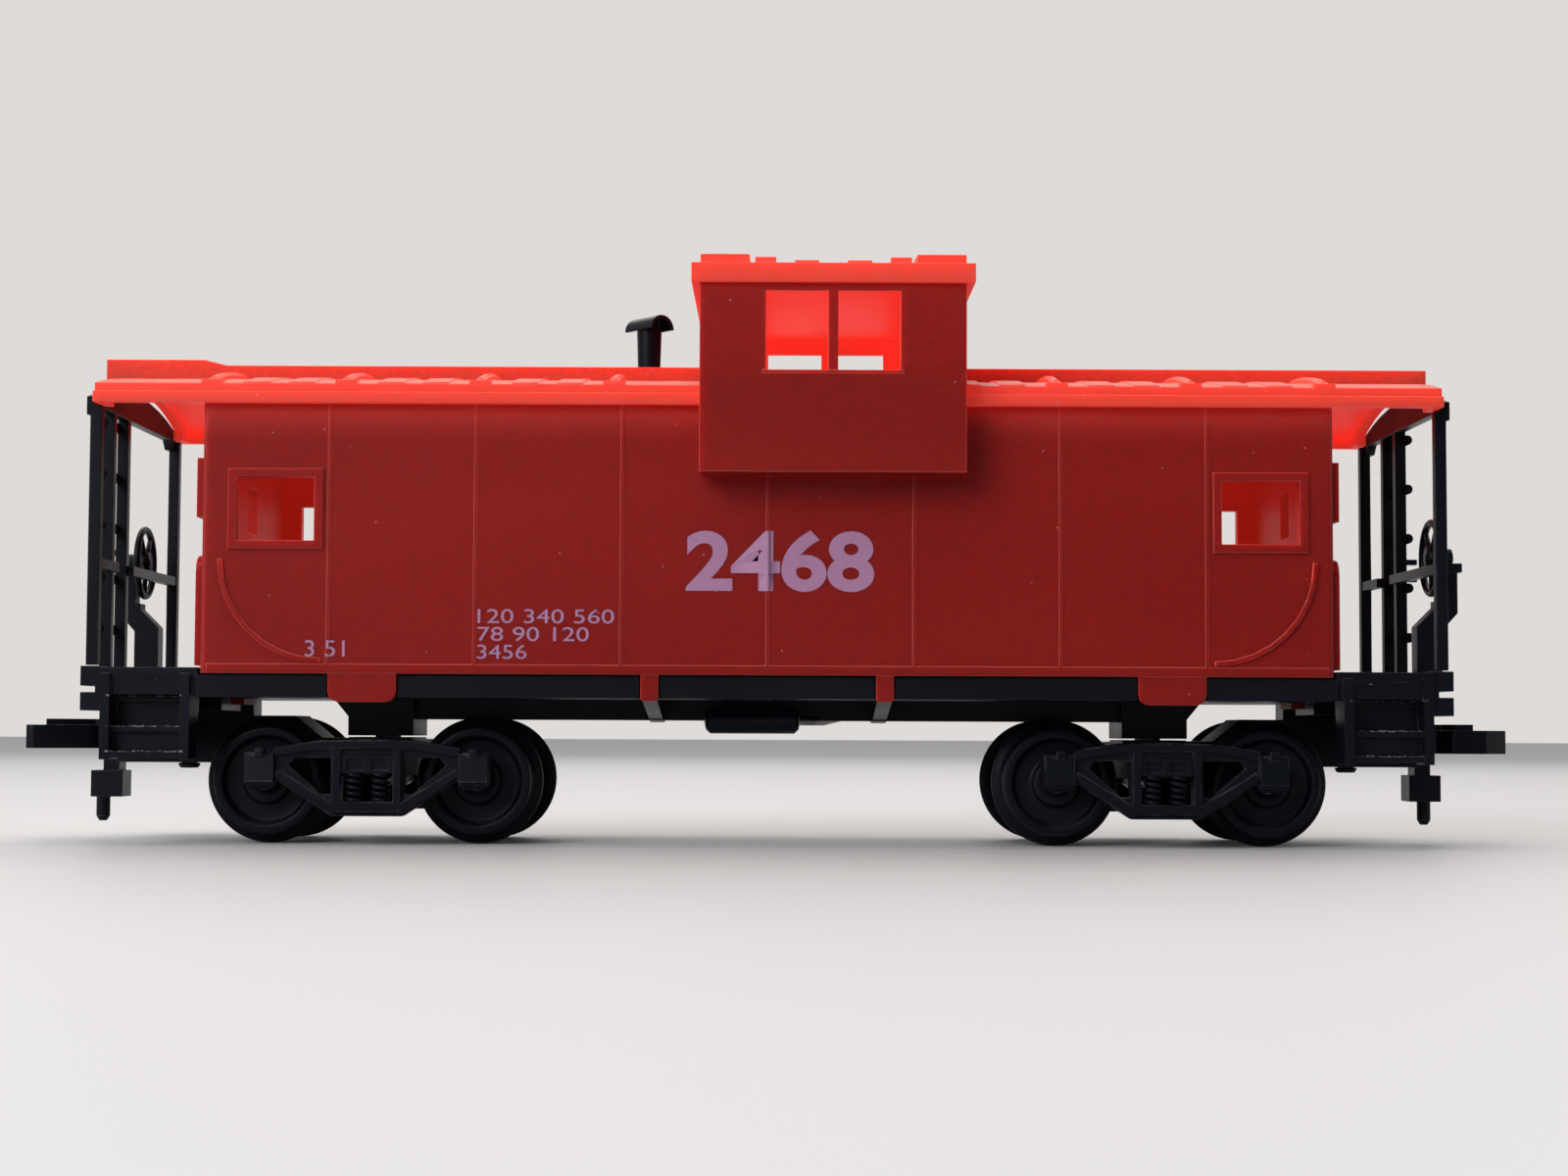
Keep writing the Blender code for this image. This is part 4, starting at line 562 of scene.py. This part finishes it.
# a profile of radius and height turned about its axis
def lathed(name, profile, segments, axis="Z", centre=(0.0, 0.0, 0.0)):
    turn = {"Z": Matrix.Identity(4), "X": Matrix.Rotation(math.pi / 2, 4, "Y"),
            "Y": Matrix.Rotation(-math.pi / 2, 4, "X")}[axis]
    bm = bmesh.new()
    rings = []
    for radius, height in profile:
        count = segments if radius > 0.0 else 1
        angles = [2 * math.pi * k / segments for k in range(count)]
        rings.append([bm.verts.new((radius * math.cos(angle), radius * math.sin(angle), height))
                      for angle in angles])
    closed = profile[0] == profile[-1]
    if closed:
        for vert in rings.pop():
            bm.verts.remove(vert)
        rings.append(rings[0])
    for first, second in zip(rings, rings[1:]):
        for k in range(segments):
            after = (k + 1) % segments
            ring = [first[k % len(first)], first[after % len(first)],
                    second[after % len(second)], second[k % len(second)]]
            bm.faces.new(list(dict.fromkeys(ring)))
    if not closed:
        for ring in (rings[0], rings[-1]):
            if len(ring) > 1:
                bm.faces.new(ring)
    bmesh.ops.recalc_face_normals(bm, faces=bm.faces)
    bmesh.ops.transform(bm, matrix=Matrix.Translation(centre) @ turn, verts=bm.verts)
    mesh = bpy.data.meshes.new(name)
    bm.to_mesh(mesh)
    bm.free()
    return looseObject(name, mesh)


def joined(name, pieces):
    bm = bmesh.new()
    for piece in pieces:
        part = piece.data.copy()
        part.transform(piece.matrix_world)
        bm.from_mesh(part)
        bpy.data.objects.remove(piece, do_unlink=True)
    mesh = bpy.data.meshes.new(name)
    bm.to_mesh(mesh)
    bm.free()
    return looseObject(name, mesh)


# a wheelset in mm, with its inner face counted from the middle of the track
wheelShape = {
    "flange": 6.2,
    "tread": 5.25,
    "innerFace": 7.2,
    "width": 2.8,
    "axle": 1.0,
    "axleHalf": 12.2,
    "point": 1.5,
    "height": 6.2,
    "base": 20.6,
    "truckX": 38.55,
    "segments": 96,
    "axleSegments": 48,
    "round": 0.03,
}


# bore, back, flange, tread and the dished front face, from the back round to the bore again
def wheelProfile():
    low = wheelShape["innerFace"]
    high = low + wheelShape["width"]
    flange, tread, bore = wheelShape["flange"], wheelShape["tread"], wheelShape["axle"]
    points = [(bore, low + 0.05), (2.0, low + 0.05), (2.1, low + 0.4), (4.4, low + 0.4), (4.6, low),
              (flange - 0.25, low), (flange - 0.06, low + 0.12), (flange, low + 0.3),
              (flange - 0.04, low + 0.52), (flange - 0.2, low + 0.68),
              (tread + 0.25, low + 0.9), (tread + 0.08, low + 1.15),
              (tread - 0.08, high - 0.1), (tread - 0.16, high), (4.45, high), (4.3, high - 0.1),
              (4.1, high - 0.72), (3.9, high - 0.82), (2.6, high - 0.86), (2.35, high - 0.72),
              (2.2, high - 0.15), (2.1, high - 0.05), (bore, high - 0.05), (bore, low + 0.05)]
    return [(radius * mm, height * mm) for radius, height in points]


def axleProfile():
    half, stub = wheelShape["axleHalf"], wheelShape["axleHalf"] - wheelShape["point"]
    radius = wheelShape["axle"] - 0.01
    points = [(0.0, -half), (0.12, -half + 0.05), (radius * 0.75, -stub), (radius, -stub + 0.35),
              (radius, stub - 0.35), (radius * 0.75, stub), (0.12, half - 0.05), (0.0, half)]
    return [(along * mm, height * mm) for along, height in points]


def wheelsets():
    for letter, turn in endTurns.items():
        side = math.cos(turn)
        for place, offset in (("outer", wheelShape["base"] / 2), ("inner", -wheelShape["base"] / 2)):
            tag = place + "_" + letter
            centre = (side * (wheelShape["truckX"] + offset) * mm, 0.0, wheelShape["height"] * mm)
            near = lathed("near", wheelProfile(), wheelShape["segments"], "Y", centre)
            far = lathed("far", [(radius, -height) for radius, height in wheelProfile()],
                         wheelShape["segments"], "Y", centre)
            pair = softened(joined("wheels_" + tag, [near, far]), wheelShape["round"] * mm, wheelBlack,
                            angle=20.0, segments=1)
            keep(pair, "wheelset_" + tag, "black_plastic",
                 "wheel_" + tag + "_left", "wheel_" + tag + "_right")
            shaft = lathed("axle_steel_" + tag, axleProfile(), wheelShape["axleSegments"], "Y", centre)
            softened(shaft, wheelShape["round"] * mm, bareSteel, angle=20.0, segments=1)
            keep(shaft, "wheelset_" + tag, "steel", "axle_" + tag)


wheelsets()
print("wheelsets turned")


# Geometry Nodes make what repeats: springs, ladder rungs and wheel spokes
def repeatGroup(name, inputs):
    tree = bpy.data.node_groups.new(name, "GeometryNodeTree")
    for title, (kind, value) in inputs.items():
        socket = tree.interface.new_socket(name=title, in_out="INPUT", socket_type="NodeSocket" + kind)
        if value is not None:
            socket.default_value = value
    tree.interface.new_socket(name="Geometry", in_out="OUTPUT", socket_type="NodeSocketGeometry")
    return tree, tree.nodes.new("NodeGroupInput").outputs, tree.nodes.new("NodeGroupOutput").inputs


def finished(tree, geometry, given, result):
    solid = put(tree, "GeometryNodeRealizeInstances", {0: geometry})
    smooth = put(tree, "GeometryNodeSetShadeSmooth", {0: solid.outputs[0]})
    coated = put(tree, "GeometryNodeSetMaterial", {"Geometry": smooth.outputs[0],
                                                   "Material": given["Material"]})
    tree.links.new(coated.outputs[0], result[0])


# a tree run with its inputs set, as a plain mesh
def grown(name, tree, values):
    holder = looseObject(name, bpy.data.meshes.new(name))
    step = holder.modifiers.new("repeat", "NODES")
    step.node_group = tree
    sockets = {item.name: item.identifier for item in tree.interface.items_tree
               if item.item_type == "SOCKET" and item.in_out == "INPUT"}
    for title, value in values.items():
        step[sockets[title]] = value
    holder.update_tag()
    bpy.context.view_layer.update()
    return settled(holder)


def springGroup():
    tree, given, result = repeatGroup("coilSprings", {
        "Radius": ("Float", 0.8 * mm), "Wire": ("Float", 0.2 * mm), "Turns": ("Float", 4.0),
        "Height": ("Float", 3.0 * mm), "Across": ("Float", 2.5 * mm), "Apart": ("Float", 24.0 * mm),
        "Columns": ("Int", 2), "Material": ("Material", None)})
    radius = given["Radius"]
    coil = put(tree, "GeometryNodeCurveSpiral", {"Resolution": 28, "Rotations": given["Turns"],
                                                 "Start Radius": radius, "End Radius": radius,
                                                 "Height": given["Height"]})
    wire = put(tree, "GeometryNodeCurvePrimitiveCircle", {"Resolution": 10, "Radius": given["Wire"]})
    tube = put(tree, "GeometryNodeCurveToMesh", {"Curve": coil.outputs[0],
                                                 "Profile Curve": wire.outputs[0], "Fill Caps": True})
    places = put(tree, "GeometryNodeMeshGrid", {"Size X": given["Across"], "Size Y": given["Apart"],
                                                "Vertices X": given["Columns"], "Vertices Y": 2})
    copies = put(tree, "GeometryNodeInstanceOnPoints", {"Points": places.outputs[0],
                                                        "Instance": tube.outputs[0]})
    finished(tree, copies.outputs[0], given, result)
    return tree


def rungGroup():
    tree, given, result = repeatGroup("ladderRungs", {
        "Count": ("Int", 5), "Pitch": ("Float", 5.1 * mm), "Radius": ("Float", 0.5 * mm),
        "Length": ("Float", 6.0 * mm), "Material": ("Material", None)})
    step = put(tree, "ShaderNodeCombineXYZ", {"Z": given["Pitch"]})
    line = put(tree, "GeometryNodeMeshLine", {"Count": given["Count"], "Offset": step.outputs[0]},
               mode="OFFSET")
    rod = put(tree, "GeometryNodeMeshCylinder", {"Vertices": 28, "Radius": given["Radius"],
                                                 "Depth": given["Length"]})
    copies = put(tree, "GeometryNodeInstanceOnPoints", {"Points": line.outputs[0],
                                                        "Instance": rod.outputs[0],
                                                        "Rotation": (math.pi / 2, 0.0, 0.0)})
    finished(tree, copies.outputs[0], given, result)
    return tree


def handWheelGroup():
    tree, given, result = repeatGroup("spokedWheel", {
        "Radius": ("Float", 3.49 * mm), "Rim": ("Float", 0.36 * mm), "Hub": ("Float", 1.1 * mm),
        "Hub Depth": ("Float", 1.0 * mm), "Spoke Tip": ("Float", 0.22 * mm),
        "Spoke Foot": ("Float", 0.32 * mm), "Spokes": ("Int", 5), "Material": ("Material", None)})
    ring = put(tree, "GeometryNodeCurvePrimitiveCircle", {"Resolution": 72, "Radius": given["Radius"]})
    section = put(tree, "GeometryNodeCurvePrimitiveCircle", {"Resolution": 14, "Radius": given["Rim"]})
    rim = put(tree, "GeometryNodeCurveToMesh", {"Curve": ring.outputs[0],
                                                "Profile Curve": section.outputs[0]})
    hub = put(tree, "GeometryNodeMeshCylinder", {"Vertices": 36, "Radius": given["Hub"],
                                                 "Depth": given["Hub Depth"]})
    bar = put(tree, "GeometryNodeMeshCone", {"Vertices": 12, "Radius Top": given["Spoke Tip"],
                                             "Radius Bottom": given["Spoke Foot"], "Depth": given["Radius"]})
    points = put(tree, "GeometryNodePoints", {"Count": given["Spokes"]})
    share = put(tree, "ShaderNodeMath", {0: 2 * math.pi, 1: given["Spokes"]}, operation="DIVIDE")
    index = put(tree, "GeometryNodeInputIndex")
    angle = put(tree, "ShaderNodeMath", {0: index.outputs[0], 1: share.outputs[0]}, operation="MULTIPLY")
    turn = put(tree, "ShaderNodeCombineXYZ", {"Y": math.pi / 2, "Z": angle.outputs[0]})
    spokes = put(tree, "GeometryNodeInstanceOnPoints", {"Points": points.outputs[0],
                                                        "Instance": bar.outputs[0],
                                                        "Rotation": turn.outputs[0]})
    whole = put(tree, "GeometryNodeJoinGeometry")
    for part in (rim, hub, spokes):
        tree.links.new(part.outputs[0], whole.inputs[0])
    finished(tree, whole.outputs[0], given, result)
    return tree


coilSprings, ladderRungs, spokedWheel = springGroup(), rungGroup(), handWheelGroup()


def block(name, low, high):
    bm = bmesh.new()
    bmesh.ops.create_cube(bm, size=1.0)
    size, middle = Vector(high) - Vector(low), (Vector(high) + Vector(low)) / 2
    place = Matrix.Translation(middle) @ Matrix.Diagonal((*size, 1.0))
    bmesh.ops.transform(bm, matrix=place, verts=bm.verts)
    mesh = bpy.data.meshes.new(name)
    bm.to_mesh(mesh)
    bm.free()
    return looseObject(name, mesh)


def span(first, second):
    return sorted((first * mm, second * mm))


def corners(x, y, z):
    return tuple(pair[0] for pair in (x, y, z)), tuple(pair[1] for pair in (x, y, z))


# box-shaped recesses cut into a piece
def carved(piece, ranges):
    for low, high in ranges:
        cutter = block("cutter", low, high)
        step = piece.modifiers.new("carve", "BOOLEAN")
        step.operation = "DIFFERENCE"
        step.solver = "EXACT"
        step.object = cutter
        bpy.context.view_layer.update()
        settled(piece)
        bpy.data.objects.remove(cutter, do_unlink=True)
    return piece


# the coil springs in the side frame's window, and how far in the window is cut
springPlace = {
    "radius": 0.72,
    "wire": 0.2,
    "turns": 4.5,
    "low": 4.2,
    "high": 6.9,
    "across": 2.5,
    "middle": 12.62,
    "window": 2.55,
    "back": 11.65,
    "cut": 3.0,
    "round": 0.07,
}

# the end of the bolster fills the frame above the springs, with two shallow windows side by side
bolsterEnd = {
    "half": 2.58,
    "low": 6.95,
    "high": 8.66,
    "face": 13.30,
    "near": 0.32,
    "far": 2.0,
    "windowLow": 7.25,
    "windowHigh": 8.35,
    "depth": 0.32,
    "round": 0.04,
}


def bolsterFace(truckX, side):
    end = bolsterEnd
    plate = block("face", *corners(span(truckX - end["half"], truckX + end["half"]),
                                   span(side * springPlace["back"], side * end["face"]),
                                   span(end["low"], end["high"])))
    windows = [corners(span(truckX + hand * end["near"], truckX + hand * end["far"]),
                       span(side * (end["face"] - end["depth"]), side * (end["face"] + 1.0)),
                       span(end["windowLow"], end["windowHigh"])) for hand in (-1, 1)]
    return carved(plate, windows)


def trucks():
    place = springPlace
    for letter, turn in endTurns.items():
        truckX = math.cos(turn) * wheelShape["truckX"]
        casting = plainSolid("truck_casting_" + letter, "truck_frame_" + letter)
        carved(casting, [corners(span(truckX - place["window"], truckX + place["window"]),
                                 span(side * place["back"], side * (place["back"] + place["cut"])),
                                 span(place["low"], bolsterEnd["high"])) for side in (-1, 1)])
        softened(casting, place["round"] * mm, truckBlack)
        keep(casting, "truck_" + letter, "black_plastic", "truck_frame_" + letter)
        ends = joined("bolster_ends_" + letter, [bolsterFace(truckX, side) for side in (-1, 1)])
        keep(softened(ends, bolsterEnd["round"] * mm, truckBlack), "truck_" + letter, "black_plastic")
        coils = grown("truck_springs_" + letter, coilSprings, {
            "Radius": place["radius"] * mm, "Wire": place["wire"] * mm, "Turns": place["turns"],
            "Height": (place["high"] - place["low"]) * mm, "Across": place["across"] * mm,
            "Apart": 2 * place["middle"] * mm, "Columns": 2, "Material": truckBlack})
        coils.data.transform(Matrix.Translation((truckX * mm, 0.0, place["low"] * mm)))
        keep(coils, "truck_" + letter, "black_plastic")


trucks()
print("trucks made")


# the ladder, hand brake and coupler of end b, which end a repeats turned about
endFittings = {
    "rungX": 65.8,
    "rungFirst": 21.0,
    "rungPitch": 5.1,
    "rungCount": 5,
    "rungLow": 2.1,
    "rungHigh": 9.0,
    "rungRadius": 0.505,
    "brakeX": 65.55,
    "brakeY": -8.0,
    "brakeZ": 28.5,
    "brakeRadius": 3.85,
    "brakeRim": 0.36,
    "brakeHub": 1.1,
    "brakeHubDepth": 1.0,
    "spokeTip": 0.22,
    "spokeFoot": 0.32,
    "spokes": 5,
    "railingRound": 0.06,
    "standRound": 0.10,
    "hookRound": 0.06,
}


def endPieces():
    place = endFittings
    middle = (place["rungLow"] + place["rungHigh"]) / 2
    for letter, turn in endTurns.items():
        about = Matrix.Rotation(turn, 4, "Z")
        railing = softened(plainSolid("railing_" + letter, "end_railing_" + letter),
                           place["railingRound"] * mm, frameBlack)
        keep(railing, "root", "black_plastic", "end_railing_" + letter)
        stand = softened(plainSolid("brake_column_" + letter, "brake_stand_" + letter),
                         place["standRound"] * mm, frameBlack)
        keep(stand, "root", "black_plastic", "brake_stand_" + letter)
        rungs = grown("ladder_rungs_" + letter, ladderRungs, {
            "Count": place["rungCount"], "Pitch": place["rungPitch"] * mm,
            "Radius": place["rungRadius"] * mm, "Length": (place["rungHigh"] - place["rungLow"]) * mm,
            "Material": frameBlack})
        rungs.data.transform(about @ Matrix.Translation((place["rungX"] * mm, middle * mm,
                                                         place["rungFirst"] * mm)))
        keep(rungs, "root", "black_plastic")
        wheel = grown("hand_wheel_" + letter, spokedWheel, {
            "Radius": (place["brakeRadius"] - place["brakeRim"]) * mm, "Rim": place["brakeRim"] * mm,
            "Hub": place["brakeHub"] * mm, "Hub Depth": place["brakeHubDepth"] * mm,
            "Spoke Tip": place["spokeTip"] * mm, "Spoke Foot": place["spokeFoot"] * mm,
            "Spokes": place["spokes"], "Material": frameBlack})
        wheel.data.transform(about @ Matrix.Translation((place["brakeX"] * mm, place["brakeY"] * mm,
                                                         place["brakeZ"] * mm))
                             @ Matrix.Rotation(math.pi / 2, 4, "Y"))
        keep(wheel, "root", "black_plastic", "brake_wheel_" + letter)
        hook = softened(plainSolid("coupler_hook_" + letter, "coupler_" + letter),
                        place["hookRound"] * mm, truckBlack)
        keep(hook, "coupler_" + letter, "black_plastic", "coupler_" + letter)


endPieces()
print("end fittings made")


# the stove pipe, with a half-round hood on a web
jack = {
    "x": -12.7,
    "y": 7.0,
    "base": 44.5,
    "crown": 46.2,
    "top": 53.2,
    "sunk": 0.1,
    "radius": 1.3,
    "foot": 0.86,
    "hoodLength": 4.6,
    "hoodRadius": 1.5,
    "hoodWall": 0.35,
    "hoodSteps": 24,
    "segments": 48,
    "webHalf": 0.3,
    "webLow": -0.4,
    "webHigh": 1.4,
    "webReach": 0.8,
    "turn": math.radians(-50.0),
    "round": 0.05,
}


# an outline across the track, drawn out along it
def extruded(name, outline, low, high):
    bm = bmesh.new()
    ring = [bm.verts.new((low, a, b)) for a, b in outline]
    face = bm.faces.new(ring)
    grownPart = bmesh.ops.extrude_face_region(bm, geom=[face])
    bmesh.ops.translate(bm, vec=(high - low, 0.0, 0.0),
                        verts=[part for part in grownPart["geom"] if isinstance(part, bmesh.types.BMVert)])
    bmesh.ops.recalc_face_normals(bm, faces=bm.faces)
    mesh = bpy.data.meshes.new(name)
    bm.to_mesh(mesh)
    bm.free()
    return looseObject(name, mesh)


def smokeJack():
    radius = jack["radius"]
    foot, top = radius * jack["foot"], jack["top"] - jack["sunk"]
    points = [(foot, jack["base"]), (foot, jack["crown"] + 1.0), (radius, top)]
    pipe = lathed("pipe", [(a * mm, b * mm) for a, b in points], jack["segments"], "Z",
                  (jack["x"] * mm, jack["y"] * mm, 0.0))
    angles = [math.pi * k / jack["hoodSteps"] for k in range(jack["hoodSteps"] + 1)]
    inside = jack["hoodRadius"] - jack["hoodWall"]
    arc = [(jack["hoodRadius"] * mm * math.cos(a), jack["hoodRadius"] * mm * math.sin(a)) for a in angles]
    arc += [(inside * mm * math.cos(a), inside * mm * math.sin(a)) for a in reversed(angles)]
    hood = extruded("hood", arc, -jack["hoodLength"] * mm / 2, jack["hoodLength"] * mm / 2)
    half, low, high = jack["webHalf"] * mm, jack["webLow"] * mm, jack["webHigh"] * mm
    web = extruded("web", [(-half, low), (half, low), (half, high), (-half, high)],
                   -radius * jack["webReach"] * mm, radius * jack["webReach"] * mm)
    place = (Matrix.Translation((jack["x"] * mm, jack["y"] * mm, top * mm))
             @ Matrix.Rotation(jack["turn"], 4, "Z"))
    for part in (hood, web):
        part.data.transform(place)
    piece = softened(joined("smoke_pipe", [pipe, hood, web]), jack["round"] * mm, frameBlack, angle=30.0)
    keep(piece, "root", "black_plastic", "smoke_jack")


# width and least angle of the rounding on the pins and the air tank
smallRounds = {
    "pin": 0.06,
    "tank": 0.05,
    "angle": 35.0,
}


def smallPieces():
    pinRound, angle = smallRounds["pin"] * mm, smallRounds["angle"]
    for letter in endTurns:
        pin = plainSolid("pivot_pin_" + letter, "truck_pin_" + letter)
        softened(pin, pinRound, bareSteel, angle)
        keep(pin, "root", "steel", "truck_pin_" + letter)
        pin = plainSolid("hook_pin_" + letter, "coupler_pin_" + letter)
        softened(pin, pinRound, truckBlack, angle)
        keep(pin, "truck_" + letter, "black_plastic", "coupler_pin_" + letter)
    tank = softened(plainSolid("tank", "air_tank"), smallRounds["tank"] * mm, frameBlack, angle)
    keep(tank, "root", "black_plastic", "air_tank")


smokeJack()
smallPieces()
print("small pieces made")


# the printed side of the wall, with the raised seams that the print follows
wallFace = {
    "y": 17.0,
    "seamPitch": 13.95,
    "seamHalf": 0.15,
    "seamProud": 0.12,
    "seamSlope": 0.03,
    "lift": 0.012,
}

# words, reach along the wall, reach upwards and how much bolder the strokes are
prints = [
    ("2468", (-7.8, 10.15), (24.4, 30.3), 0.030),
    ("120 340 560", (-27.6, -14.6), (21.3, 22.65), 0.0),
    ("78 90 120", (-27.6, -17.0), (19.6, 20.95), 0.0),
    ("3456", (-27.6, -22.9), (17.9, 19.25), 0.0),
    ("3 51", (-44.0, -40.2), (18.05, 19.6), 0.0),
]


# rows of plain numbers as flat meshes just off the wall
def lettering(name, rows, turn):
    whole = bmesh.new()
    for words, across, upright, weight in rows:
        text = bpy.data.curves.new("row", "FONT")
        text.body = words
        text.offset = weight
        text.resolution_u = 6
        holder = looseObject("row", text)
        bpy.context.view_layer.update()
        graph = bpy.context.evaluated_depsgraph_get()
        mesh = bpy.data.meshes.new_from_object(holder.evaluated_get(graph))
        low = [min(vert.co[k] for vert in mesh.vertices) for k in (0, 1)]
        high = [max(vert.co[k] for vert in mesh.vertices) for k in (0, 1)]
        stretch = [(reach[1] - reach[0]) * mm / (high[k] - low[k])
                   for k, reach in enumerate((across, upright))]
        place = Matrix((
            (stretch[0], 0.0, 0.0, across[0] * mm - low[0] * stretch[0]),
            (0.0, 0.0, 0.0, -(wallFace["y"] + wallFace["lift"]) * mm),
            (0.0, stretch[1], 0.0, upright[0] * mm - low[1] * stretch[1]),
            (0.0, 0.0, 0.0, 1.0)))
        mesh.transform(place)
        whole.from_mesh(mesh)
        bpy.data.objects.remove(holder, do_unlink=True)
    overSeams(whole)
    bmesh.ops.recalc_face_normals(whole, faces=whole.faces)
    bmesh.ops.transform(whole, matrix=Matrix.Rotation(turn, 4, "Z"), verts=whole.verts)
    mesh = bpy.data.meshes.new(name)
    whole.to_mesh(mesh)
    whole.free()
    mesh.materials.append(markInk)
    return looseObject(name, mesh)


# the print is cut along each seam and lifted over it
def overSeams(bm):
    for index in range(-3, 4):
        seam = index * wallFace["seamPitch"] * mm
        for edge in (-1, 1):
            cutAt = seam + edge * wallFace["seamHalf"] * mm
            for shift in (0.0, edge * wallFace["seamSlope"] * mm):
                bmesh.ops.bisect_plane(bm, geom=bm.verts[:] + bm.edges[:] + bm.faces[:],
                                       plane_co=(cutAt + shift, 0.0, 0.0), plane_no=(1.0, 0.0, 0.0))
        for vert in bm.verts:
            if abs(vert.co.x - seam) < (wallFace["seamHalf"] + 0.005) * mm:
                vert.co.y -= wallFace["seamProud"] * mm


for side, turn in (("near", 0.0), ("far", math.pi)):
    keep(lettering("numbers_" + side, prints, turn), "root", "red_plastic")
print("numbers printed")


# pale floor and backdrop, soft lamps
studio = {
    "floorSize": 6.0,
    "floorRough": 0.55,
    "floorSeen": (0.64, 0.625, 0.613, 1.0),
    "floorBounce": (0.20, 0.22, 0.27, 1.0),
    "backdrop": (0.735, 0.708, 0.688, 1.0),
    "ambient": (0.90, 0.94, 1.0, 1.0),
    "frontPower": 0.24,
    "backPower": 0.70,
    "backFrom": -0.3,
    "backFull": 0.6,
}

lamps = {
    "back": {"place": (0.10, 0.45, 0.50), "aim": (0.0, 0.0, 0.03), "size": (0.9, 0.5), "power": 1.8,
             "color": (1.0, 0.97, 0.93)},
    "top": {"place": (-0.10, -0.02, 0.60), "aim": (0.0, 0.0, 0.03), "size": (0.7, 0.5), "power": 1.6,
            "color": (1.0, 0.98, 0.96)},
    "front": {"place": (-0.42, -0.50, 0.34), "aim": (0.0, 0.0, 0.03), "size": (0.5, 0.4), "power": 3.4,
              "color": (0.96, 0.97, 1.0)},
}


# rays that show the background as it is painted, and the light path they come from
def seenRays(tree):
    path = put(tree, "ShaderNodeLightPath")
    return sums(tree, "MAXIMUM", path.outputs["Is Camera Ray"], path.outputs["Is Transmission Ray"]), path


def setStage():
    bm = bmesh.new()
    bmesh.ops.create_grid(bm, x_segments=1, y_segments=1, size=studio["floorSize"] / 2)
    mesh = bpy.data.meshes.new("floor")
    bm.to_mesh(mesh)
    bm.free()
    floor = looseObject("floor", mesh)
    made, tree, shader = newMaterial("paleFloor")
    seen, path = seenRays(tree)
    seen = sums(tree, "MAXIMUM", seen, path.outputs["Is Glossy Ray"])
    color = blended(tree, seen, studio["floorBounce"], studio["floorSeen"])
    tree.links.new(color, shader.inputs["Base Color"])
    shader.inputs["Roughness"].default_value = studio["floorRough"]
    mesh.materials.append(made)
    for name, lamp in lamps.items():
        light = bpy.data.lights.new(name, "AREA")
        light.shape = "RECTANGLE"
        light.size, light.size_y = lamp["size"]
        light.energy = lamp["power"]
        light.color = lamp["color"]
        holder = bpy.data.objects.new(name, light)
        scene.collection.objects.link(holder)
        holder.location = lamp["place"]
        aim = Vector(lamp["aim"]) - Vector(lamp["place"])
        holder.rotation_euler = aim.to_track_quat("-Z", "Y").to_euler()


# the backdrop stands behind the car, so gloss shows it there and the dimmer room in front
def setWorld():
    world = bpy.data.worlds.new("studio")
    world.use_nodes = True
    tree = world.node_tree
    tree.nodes.clear()
    seen, path = seenRays(tree)
    heading = put(tree, "ShaderNodeSeparateXYZ", {0: put(tree, "ShaderNodeTexCoord").outputs["Generated"]})
    behind = ranged(tree, heading.outputs["Y"], studio["backFrom"], studio["backFull"])
    seen = sums(tree, "MAXIMUM", seen, sums(tree, "MULTIPLY", path.outputs["Is Glossy Ray"], behind))
    backdrop = put(tree, "ShaderNodeBackground", {"Color": studio["backdrop"], "Strength": 1.0})
    power = ranged(tree, behind, 0.0, 1.0, studio["frontPower"], studio["backPower"])
    glow = put(tree, "ShaderNodeBackground", {"Color": studio["ambient"], "Strength": power})
    mix = put(tree, "ShaderNodeMixShader", {0: seen, 1: glow.outputs[0], 2: backdrop.outputs[0]})
    end = put(tree, "ShaderNodeOutputWorld")
    tree.links.new(mix.outputs[0], end.inputs[0])
    scene.world = world


setStage()
setWorld()
scene.view_settings.view_transform = "Standard"
print("stage set")
